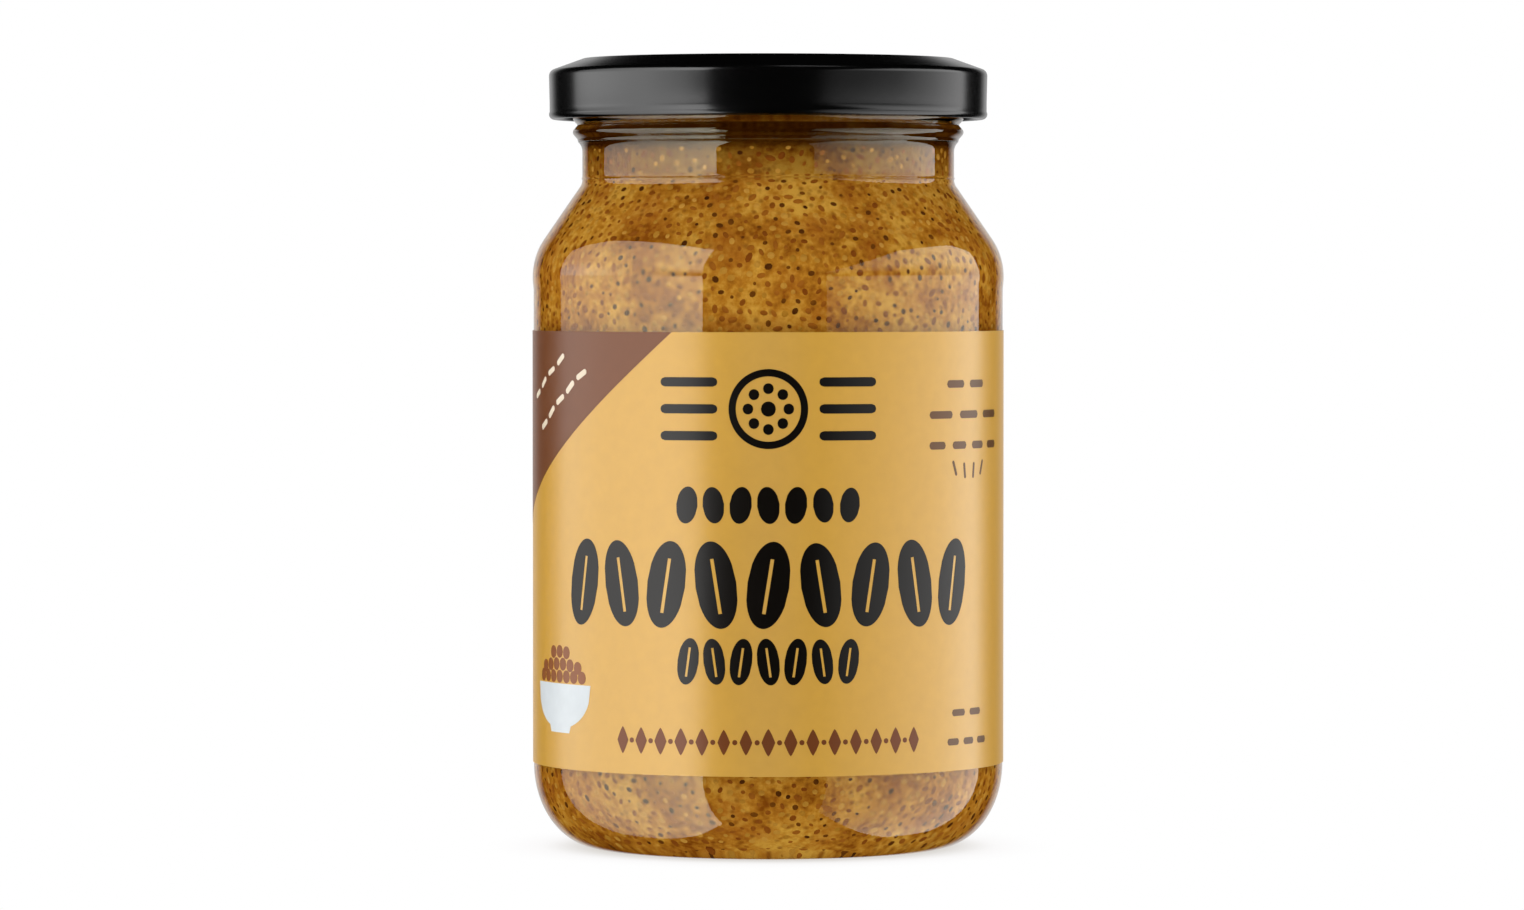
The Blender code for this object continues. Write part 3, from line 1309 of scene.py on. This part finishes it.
@dataclass
class LabelPrint:
    """The print on the label: a field, a ring, a bowl, and rows of grains, seeds, lozenges and bars."""

    label: PaperLabel
    ink_height: float = 0.00002
    sunk: float = 0.00001
    field_start: float = -0.0122
    field_slope: float = 0.86
    field_bend: float = 0.085
    field_margin: float = 0.00005
    field_columns: int = 90
    random_seed: int = 3

    def tree(self) -> NodeTree:
        """Builds the tree: it sets copies of a shape in a row, wraps them round the jar and inks them.

        Returns:
            The tree.
        """
        sizes = ("Pitch", "Arch", "Lean", "Fan", "Least Size", "Radius", "Thickness")
        inputs = {"Shape": "Object", "Count": "Int", "Place": "Vector", "Turn": "Vector", "Seed": "Int"}
        inputs |= dict.fromkeys(sizes, "Float") | {"Ink": "Material"}
        tree, add, given = new_geometry_tree("print_row", inputs)
        gaps = add("ShaderNodeMath", {0: given["Count"], 1: 1.0}, operation="SUBTRACT")
        middle = add("ShaderNodeMath", {0: gaps, 1: 0.5}, operation="MULTIPLY")
        line = add("GeometryNodeMeshLine", {"Count": given["Count"]}, mode="OFFSET")
        index = add("GeometryNodeInputIndex")
        off = add("ShaderNodeMath", {0: index, 1: middle}, operation="SUBTRACT")
        along = add("ShaderNodeMath", {0: off, 1: given["Pitch"]}, operation="MULTIPLY")
        squared = add("ShaderNodeMath", {0: off, 1: off}, operation="MULTIPLY")
        sag = add("ShaderNodeMath", {0: squared, 1: given["Arch"]}, operation="MULTIPLY")
        down = add("ShaderNodeMath", {0: sag, 1: -1.0}, operation="MULTIPLY")
        spot = add("ShaderNodeCombineXYZ", {"X": along, "Y": down})
        spots = add("GeometryNodeSetPosition", {"Geometry": line, "Position": spot})
        odd = add("ShaderNodeMath", {0: index, 1: 2.0}, operation="MODULO")
        sign = add("ShaderNodeMath", {0: odd, 1: 2.0, 2: -1.0}, operation="MULTIPLY_ADD")
        lean = add("ShaderNodeMath", {0: sign, 1: given["Lean"]}, operation="MULTIPLY")
        turn = add("ShaderNodeMath", {0: off, 1: given["Fan"], 2: lean}, operation="MULTIPLY_ADD")
        rotation = add("ShaderNodeCombineXYZ", {"Z": turn})
        range_of_sizes = {"Min": given["Least Size"], "Max": 1.0, "Seed": given["Seed"]}
        size = add("FunctionNodeRandomValue", range_of_sizes)
        shape = add("GeometryNodeObjectInfo", {"Object": given["Shape"]}).outputs["Geometry"]
        copies = {"Points": spots, "Instance": shape, "Rotation": rotation, "Scale": size}
        placed = add("GeometryNodeInstanceOnPoints", copies)
        move = {"Geometry": placed, "Translation": given["Place"], "Rotation": given["Turn"]}
        moved = add("GeometryNodeTransform", move)
        flat = add("GeometryNodeRealizeInstances", {"Geometry": moved})
        place = add("GeometryNodeInputPosition")
        parts = add("ShaderNodeSeparateXYZ", {0: place}).outputs
        angle = add("ShaderNodeMath", {0: parts["X"], 1: given["Radius"]}, operation="DIVIDE")
        sine = add("ShaderNodeMath", {0: angle}, operation="SINE")
        cosine = add("ShaderNodeMath", {0: angle}, operation="COSINE")
        x = add("ShaderNodeMath", {0: sine, 1: given["Radius"]}, operation="MULTIPLY")
        y = add("ShaderNodeMath", {0: cosine, 1: given["Radius"]}, operation="MULTIPLY")
        front = add("ShaderNodeMath", {0: y, 1: -1.0}, operation="MULTIPLY")
        round_place = add("ShaderNodeCombineXYZ", {"X": x, "Y": front, "Z": parts["Y"]})
        wrapped = add("GeometryNodeSetPosition", {"Geometry": flat, "Position": round_place})
        lift = {"Mesh": wrapped, "Offset Scale": given["Thickness"], "Individual": False}
        skin = add("GeometryNodeExtrudeMesh", lift, mode="FACES")
        back = add("GeometryNodeFlipFaces", {"Mesh": wrapped})
        both = add("GeometryNodeJoinGeometry", {"Geometry": [skin, back]})
        closed = add("GeometryNodeMergeByDistance", {"Geometry": both, "Distance": TOUCHING})
        done = add("GeometryNodeSetMaterial", {"Geometry": closed, "Material": given["Ink"]})
        add("NodeGroupOutput", {"Geometry": done})
        return tree

    def field_edge(self, along: float) -> float:
        """Follows the brown field's lower edge, which falls from the label's top and slowly levels out.

        Args:
            along: The place on the label.

        Returns:
            The edge's height there.
        """
        run = max(0.0, self.field_start - along)
        fall = 1.0 - math.exp(-run / self.field_bend)
        return self.label.top - self.field_slope * self.field_bend * fall

    def field_shape(self) -> Object:
        """Makes the brown field's shape, which runs from the front round to the label's end at the back.

        Returns:
            A helper object.
        """
        left = (self.label.opening[1] - 1.5 * math.pi) * self.label.radius + self.field_margin
        top = self.label.top
        return flat_shape(left, self.field_start, self.field_edge, lambda x: top, self.field_columns)

    def rows(self) -> list[PrintRow]:
        """Lists what is printed.

        Returns:
            The rows, with those on a higher layer after what they lie on.
        """
        bars = (stroke_shape, (7.4, 1.15), Ink.BLACK)
        bowl_seeds = (dot_shape, (0.8,), Ink.CLAY)
        uneven = {"lean": 6.0, "unevenness": 0.2, "layer": 1}
        return [
            PrintRow("print_brown_field", self.field_shape, (), Ink.BROWN),
            PrintRow(
                "print_field_dashes_upper", dash_shape, (2.2, 0.7), Ink.CREAM,
                -35.2, 59.6, 4, 3.0, turn=29.0, **uneven,
            ),
            PrintRow(
                "print_field_dashes_lower", dash_shape, (2.3, 0.75), Ink.CREAM,
                -31.4, 56.8, 5, 2.9, turn=33.0, **uneven,
            ),
            PrintRow("print_ring", ring_shape, (4.9, 4.0), Ink.BLACK, 0.0, 55.9),
            PrintRow("print_rosette", rosette_shape, (0.66, 2.5), Ink.BLACK, 0.0, 55.9),
            PrintRow("print_bars_left", *bars, -10.0, 55.9, 3, 3.3, turn=90.0),
            PrintRow("print_bars_right", *bars, 10.0, 55.9, 3, 3.3, turn=90.0),
            PrintRow(
                "print_round_seeds", seed_shape, (1.4,), Ink.BLACK,
                0.0, 44.1, 7, 3.4, lean=7.0, unevenness=0.1,
            ),
            PrintRow(
                "print_large_grains", grain_shape, (5.2, 10.9, 0.45), Ink.BLACK,
                0.0, 34.3, 9, 6.5, lean=9.0, unevenness=0.06,
            ),
            PrintRow(
                "print_small_grains", grain_shape, (2.75, 5.8, 0.3), Ink.BLACK,
                0.0, 24.9, 7, 3.35, lean=8.0, unevenness=0.06,
            ),
            PrintRow(
                "print_lozenges", lozenge_shape, (1.7, 3.4), Ink.RUST,
                0.0, 15.0, 15, 2.75, unevenness=0.1,
            ),
            PrintRow("print_fine_dots", dot_shape, (0.32,), Ink.RUST, 0.0, 15.0, 14, 2.75),
            PrintRow("print_dashes_top", dash_shape, (3.5, 0.95), Ink.UMBER, 29.1, 58.8, 2, 4.8),
            PrintRow("print_dashes_middle", dash_shape, (4.2, 0.95), Ink.UMBER, 29.6, 55.0, 3, 5.7),
            PrintRow("print_dashes_bottom", dash_shape, (2.9, 0.95), Ink.UMBER, 29.6, 51.2, 4, 4.25),
            PrintRow(
                "print_fan", stroke_shape, (2.0, 0.42), Ink.UMBER,
                29.6, 48.0, 4, 2.1, fan=14.0, arch=-0.16,
            ),
            PrintRow("print_weight_upper", dash_shape, (2.7, 0.85), Ink.UMBER, 29.2, 18.0, 2, 3.8),
            PrintRow("print_weight_lower", dash_shape, (2.3, 0.85), Ink.UMBER, 29.5, 14.4, 3, 3.3),
            PrintRow("print_bowl", bowl_shape, (13.6, 5.6, 4.8), Ink.MILK, -31.6, 21.4),
            PrintRow("print_bowl_seeds_low", *bowl_seeds, -31.6, 22.3, 7, 1.7),
            PrintRow("print_bowl_seeds_high", *bowl_seeds, -31.6, 23.85, 6, 1.7, arch=0.06),
            PrintRow("print_bowl_seeds_top", *bowl_seeds, -31.6, 25.4, 3, 1.7, arch=0.1),
            PrintRow("print_back_panel", block_shape, (36.0, 49.0), Ink.CREAM, 68.0, 37.6),
            PrintRow(
                "print_back_bars", stroke_shape, (30.0, 1.0), Ink.UMBER,
                68.0, 37.6, 12, 3.6, turn=90.0, unevenness=0.3, layer=1,
            ),
        ]

    def print_row(self, row: PrintRow, tree: NodeTree, finish: Material) -> Object:
        """Prints a row.

        Args:
            row: What is printed, and where.
            tree: What tree() made.
            finish: The ink's material.

        Returns:
            The finished piece.
        """
        shape = row.shape(*(size * MM for size in row.sizes))
        values = {
            "Shape": shape,
            "Count": row.count,
            "Pitch": row.pitch * MM,
            "Place": (row.along * MM, row.up * MM, 0.0),
            "Turn": (0.0, 0.0, math.radians(row.turn)),
            "Arch": row.arch * MM,
            "Lean": math.radians(row.lean),
            "Fan": math.radians(-row.fan),
            "Least Size": 1.0 - row.unevenness,
            "Seed": self.random_seed,
            "Radius": self.label.radius - self.sunk + row.layer * self.ink_height,
            "Thickness": self.ink_height + self.sunk,
            "Ink": finish,
        }
        printed = dress(run_nodes(row.name, tree, None, values), finish)
        bpy.data.objects.remove(shape)
        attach(printed, BODY)
        return printed

    def build(self, inks: dict[Ink, Material]) -> list[Object]:
        """Prints the whole label.

        Args:
            inks: A material for each ink.

        Returns:
            The finished pieces.
        """
        tree = self.tree()
        return [self.print_row(row, tree, inks[row.ink]) for row in self.rows()]


@dataclass(frozen=True)
class Softbox:
    """An upright softbox beside the jar that only reflections show, flat and facing the jar.

    Azimuths are its two edges' turns from the front, in degrees. Places across it run from 0 at the edge
    nearer the viewer to 1 at the edge behind. The band that the lid mirrors has its own glow, which comes
    in over the heights of band_foot and goes out over band_top's.
    """

    name: str
    side: int
    azimuths: Point
    bottoms: tuple[Point, ...]
    tops: tuple[Point, ...]
    glow: tuple[Point, ...]
    band_glow: tuple[Point, ...]
    band_foot: Point = (0.088, 0.104)
    band_top: Point = (0.15, 0.25)
    distance: float = 0.6
    columns: int = 24


@dataclass(frozen=True)
class Lamp:
    """A soft lamp that lights things without being mirrored in them.

    Azimuth runs from the front to the viewer's right and elevation upwards, both in degrees.
    """

    name: str
    azimuth: float
    elevation: float
    distance: float
    size: float
    strength: float

    @property
    def watts(self) -> float:
        """The power at which a white surface facing the lamp is as bright as the lamp's strength says."""
        return self.strength * (math.pi * self.distance) ** 2


def between(places: tuple[Point, ...], at: float) -> float:
    """Reads a line through points at a place between them.

    Args:
        places: The line's points, in order.
        at: The place.

    Returns:
        The line's height there.
    """
    for (x0, y0), (x1, y1) in zip(places, places[1:]):
        if at <= x1:
            return y0 + (y1 - y0) * (at - x0) / (x1 - x0)
    return places[-1][1]


@dataclass
class Studio:
    """The pale floor, the softboxes, the lamps, the soft room light and the camera.

    The room gives room_light's first strength from below and its second from above, and room_levels says
    over which heights of the view one passes into the other. The wall comes in over wall_behind as the view
    turns to the back, and goes out over wall_level as it rises or falls. The overhead softbox's front edge
    is a curve, and top_edge gives its middle's place and its bend.
    """

    distance: float = 0.9
    eye_height: float = 0.073
    eye_across: float = -0.00078
    aim_height: float = 0.0495
    lens_mm: float = 168.0
    camera_reach: float = 50.0
    floor_half: float = 6.0
    room_light: Point = (1.0, 0.2)
    wall_light: float = 0.65
    lamp_aim: float = 0.05
    brightest: float = 10.0
    wall_behind: Point = (0.86, 0.95)
    wall_level: Point = (0.4, 0.25)
    room_levels: Point = (-0.3, 0.3)
    # Painted contact shadow: within this reach, ambient occlusion darkens the glowing floor's colour.
    floor_shade_reach: float = 0.012
    floor_shade: Stops = ((0.0, "#DAD6D1"), (0.5, "#FBFAFA"), (0.8, "#FFFFFF"))
    top_centre: Triple = (0.19, -0.23, 0.8)
    top_edge: Point = (-0.298, 0.88)
    top_size: Point = (0.36, 0.08)
    top_fade: Point = (0.11, 0.18)
    top_glow: float = 2.8
    top_columns: int = 24
    softboxes: tuple[Softbox, ...] = (
        Softbox(
            "left_softbox",
            side=-1,
            azimuths=(31.5, 121.0),
            bottoms=((0.0, -1.15), (0.5, -1.4), (0.8, -1.3), (1.0, -0.9)),
            tops=((0.0, 0.84), (0.45, 0.72), (0.75, 0.64), (0.88, 0.52), (1.0, 0.40)),
            glow=((0.0, 4.8), (0.2, 4.8), (0.5, 3.3), (0.75, 2.1), (1.0, 1.0)),
            band_glow=(
                (0.0, 0.2), (0.09, 0.8), (0.17, 1.9), (0.4, 3.6), (0.6, 3.8), (0.75, 3.4), (1.0, 1.6)
            ),
        ),
        Softbox(
            "right_softbox",
            side=1,
            azimuths=(28.0, 124.5),
            bottoms=((0.0, -0.7), (0.5, -1.0), (0.8, -1.1), (1.0, -0.8)),
            tops=((0.0, 0.2), (0.2, 0.3), (0.5, 0.48), (0.85, 0.5), (1.0, 0.38)),
            glow=((0.0, 0.6), (0.25, 1.4), (0.5, 2.7), (0.75, 2.8), (1.0, 2.4)),
            band_glow=((0.0, 0.0), (0.25, 0.1), (0.46, 0.3), (0.6, 1.3), (0.72, 1.9), (1.0, 2.2)),
        ),
    )
    lamps: tuple[Lamp, ...] = (
        Lamp("key_lamp", -4.0, 48.0, 1.0, 0.6, 0.47),
        Lamp("front_fill", 0.0, 0.0, 1.2, 0.7, 0.2),
        Lamp("left_fill", -118.0, 0.0, 1.0, 0.5, 1.1),
        Lamp("right_fill", 118.0, 0.0, 1.0, 0.5, 0.95),
    )

    def build_floor(self) -> None:
        """Builds the floor: an even white glow with a painted contact shadow, darker close to what stands on
        it.
        """
        made, add = blank_material("matt_white_floor")
        # Painted shadow: ambient occlusion darkens the floor's glow near the jar.
        near = add("ShaderNodeAmbientOcclusion", {"Distance": self.floor_shade_reach}, samples=8)
        shade = add("ShaderNodeValToRGB", {"Fac": near.outputs["AO"]}, self.floor_shade)
        glow = add("ShaderNodeEmission", {"Color": shade, "Strength": 1.0})
        add("ShaderNodeOutputMaterial", {"Surface": glow})
        mesh = bmesh.new()
        bmesh.ops.create_grid(mesh, x_segments=2, y_segments=2, size=self.floor_half)
        floor = mesh_object("floor", mesh)
        floor.data.materials.append(made)
        floor.visible_glossy = False
        floor.visible_diffuse = False

    def build_softbox(self, box: Softbox) -> None:
        """Builds a softbox.

        Args:
            box: Its place, shape and brightness.
        """
        made, add = blank_material(box.name)
        place = add("ShaderNodeUVMap", uv_map="place")
        parts = add("ShaderNodeSeparateXYZ", {0: place}).outputs
        curves = []
        for points in (box.glow, box.band_glow):
            curve = add("ShaderNodeFloatCurve", {"Value": parts["X"]})
            line = curve.mapping.curves[0]
            while len(line.points) < len(points):
                line.points.new(0.5, 0.5)
            for point, (at, strength) in zip(line.points, points):
                point.location = (at, strength / self.brightest)
                point.handle_type = "VECTOR"
            curve.mapping.update()
            curves.append(curve)
        slopes = [
            add("ShaderNodeMapRange", {"Value": parts["Y"], "From Min": start, "From Max": end})
            for start, end in (box.band_foot, box.band_top[::-1])
        ]
        band = add("ShaderNodeMath", dict(enumerate(slopes)), operation="MULTIPLY")
        both = add("ShaderNodeMix", {"Factor": band, "A": curves[0], "B": curves[1]})
        bright = add("ShaderNodeMath", {0: both, 1: self.brightest}, operation="MULTIPLY")
        glow = add("ShaderNodeEmission", {"Strength": bright})
        add("ShaderNodeOutputMaterial", {"Surface": glow})
        near, far = (math.radians(azimuth) for azimuth in box.azimuths)
        reach = box.distance / math.cos((far - near) / 2)
        feet = [Vector((box.side * reach * math.sin(a), -reach * math.cos(a), 0.0)) for a in (near, far)]
        mesh = bmesh.new()
        layer = mesh.loops.layers.uv.new("place")
        shares = [i / box.columns for i in range(box.columns + 1)]
        rows = []
        for edge in (box.bottoms, box.tops):
            places = [feet[0].lerp(feet[1], u) + Vector((0, 0, between(edge, u))) for u in shares]
            rows.append([mesh.verts.new(place) for place in places])
        for i in range(box.columns):
            face = mesh.faces.new([rows[0][i], rows[0][i + 1], rows[1][i + 1], rows[1][i]])
            for loop, u in zip(face.loops, (shares[i], shares[i + 1], shares[i + 1], shares[i])):
                loop[layer].uv = (u, loop.vert.co.z)
        self.hide_from_all_but_reflections(mesh_object(box.name, mesh), made)

    def build_top_softbox(self) -> None:
        """Builds the small softbox overhead, which the shoulder shows as a pale patch."""
        made, add = blank_material("top_softbox")
        place = add("ShaderNodeTexCoord").outputs["Object"]
        off = add("ShaderNodeVectorMath", {0: place, 1: self.top_centre}, operation="DISTANCE")
        start, end = self.top_fade
        falloff = {"Value": off, "From Min": start, "From Max": end, "To Min": self.top_glow, "To Max": 0.0}
        fade = add("ShaderNodeMapRange", falloff, interpolation_type="SMOOTHSTEP")
        glow = add("ShaderNodeEmission", {"Strength": fade})
        add("ShaderNodeOutputMaterial", {"Surface": glow})
        width, depth = self.top_size
        mesh = bmesh.new()
        rows = []
        for i in range(self.top_columns + 1):
            x = self.top_centre[0] + width * (i / self.top_columns - 0.5)
            y = self.top_edge[0] + self.top_edge[1] * x**2
            rows.append([mesh.verts.new((x, y + across, self.top_centre[2])) for across in (0.0, depth)])
        for left, right in zip(rows, rows[1:]):
            mesh.faces.new([left[0], right[0], right[1], left[1]])
        self.hide_from_all_but_reflections(mesh_object("top_softbox", mesh), made)

    def hide_from_all_but_reflections(self, panel: Object, finish: Material) -> None:
        """Gives a softbox its glow and lets only reflections show it.

        Args:
            panel: The softbox.
            finish: Its glow.
        """
        panel.data.materials.append(finish)
        panel.visible_camera = False
        panel.visible_diffuse = False
        panel.visible_transmission = False
        panel.visible_shadow = False

    def build_lamp(self, lamp: Lamp) -> None:
        """Builds a lamp that isn't mirrored.

        Args:
            lamp: Its place, size and strength.
        """
        data = bpy.data.lights.new(lamp.name, "AREA")
        data.energy = lamp.watts
        data.size = lamp.size
        made = bpy.data.objects.new(lamp.name, data)
        turn, rise = math.radians(lamp.azimuth), math.radians(lamp.elevation)
        aim = Vector((0.0, 0.0, self.lamp_aim))
        way = Vector((math.sin(turn) * math.cos(rise), -math.cos(turn) * math.cos(rise), math.sin(rise)))
        made.location = aim + way * lamp.distance
        made.rotation_euler = way.to_track_quat("Z", "Y").to_euler()
        made.visible_glossy = False
        made.visible_camera = False
        made.visible_transmission = False
        bpy.context.scene.collection.objects.link(made)

    def build_room(self) -> None:
        """Builds the room's light: white to look at, and mirrored as dark with a pale wall far behind."""
        world = bpy.data.worlds.new("studio_room")
        world.use_nodes = True
        world.node_tree.nodes.clear()
        add = partial(add_node, world.node_tree)
        rays = add("ShaderNodeLightPath").outputs
        way = add("ShaderNodeTexCoord").outputs["Generated"]
        parts = add("ShaderNodeSeparateXYZ", {0: way}).outputs
        height = add("ShaderNodeMath", {0: parts["Z"]}, operation="ABSOLUTE")
        across, level = (
            add("ShaderNodeMapRange", {"Value": at, "From Min": start, "From Max": end})
            for at, (start, end) in ((parts["Y"], self.wall_behind), (height, self.wall_level))
        )
        wall = add("ShaderNodeMath", {0: across, 1: level}, operation="MULTIPLY")
        shine = add("ShaderNodeMath", {0: wall, 1: self.wall_light}, operation="MULTIPLY")
        (below, above), (low, high) = self.room_levels, self.room_light
        slope = {"Value": parts["Z"], "From Min": below, "From Max": above, "To Min": low, "To Max": high}
        soft = add("ShaderNodeMapRange", slope)
        white = linear("#FFFFFF")
        seen, lit, mirrored = (
            add("ShaderNodeBackground", {"Color": white, "Strength": strength})
            for strength in (1.0, soft, shine)
        )
        directly = {0: rays["Is Camera Ray"], 1: rays["Is Transmission Ray"]}
        looked_at = add("ShaderNodeMath", directly, operation="MAXIMUM")
        first = add("ShaderNodeMixShader", {0: looked_at, 1: lit, 2: seen})
        both = add("ShaderNodeMixShader", {0: rays["Is Glossy Ray"], 1: first, 2: mirrored})
        add("ShaderNodeOutputWorld", {"Surface": both})
        bpy.context.scene.world = world
        bpy.context.scene.view_settings.view_transform = "Standard"

    def build_camera(self) -> None:
        """Sets the camera as the picture was taken: a long lens, a little above the jar's middle."""
        data = bpy.data.cameras.new("camera")
        data.lens = self.lens_mm
        data.clip_end = self.camera_reach
        camera = bpy.data.objects.new("camera", data)
        camera.location = (self.eye_across, -self.distance, self.eye_height)
        aim = Vector((self.eye_across, 0.0, self.aim_height))
        camera.rotation_euler = (aim - camera.location).to_track_quat("-Z", "Y").to_euler()
        bpy.context.scene.collection.objects.link(camera)
        bpy.context.scene.camera = camera

    def build(self) -> None:
        """Builds everything round the jar."""
        self.build_camera()
        self.build_floor()
        for box in self.softboxes:
            self.build_softbox(box)
        self.build_top_softbox()
        for lamp in self.lamps:
            self.build_lamp(lamp)
        self.build_room()


def main() -> None:
    """Builds the studio and the jar's pieces."""
    logging.basicConfig(level=logging.INFO, format="%(name)s: %(message)s")
    Studio().build()
    jar = GlassJar()
    fill = MustardFill(jar)
    label = PaperLabel(jar.panel_radius)
    pieces = [jar.build(ClearGlass().build()), PressedLid().build(LidLacquer().build())]
    pieces.append(fill.build(MustardPaste().build()))
    scatter = SeedScatter()
    seed_tree = scatter.tree()
    skin = fill.bare_surface(label.opening)
    hulls = {
        SeedKind.BLACK: SeedHull("black_seed_hull", "#421F09", "#74400F"),
        SeedKind.BROWN: SeedHull("brown_seed_hull", "#7C3C0E", "#A25E1C"),
        SeedKind.YELLOW: SeedHull("yellow_seed_hull", "#A9701F", "#C98F3A"),
    }
    for kind, hull in hulls.items():
        pieces.append(scatter.build(kind, skin, seed_tree, hull.build()))
    bpy.data.objects.remove(skin)
    inks = {}
    for ink in Ink:
        inks[ink] = CoatedPaper(f"label_paper_{ink.name.lower()}", ink.value.colour, ink.value.ior).build()
    pieces.append(label.build(inks[Ink.YELLOW]))
    pieces += LabelPrint(label).build(inks)
    for piece in pieces:
        LOG.info("%s: %d faces", piece.name, len(piece.data.polygons))


if __name__ == "__main__":
    main()
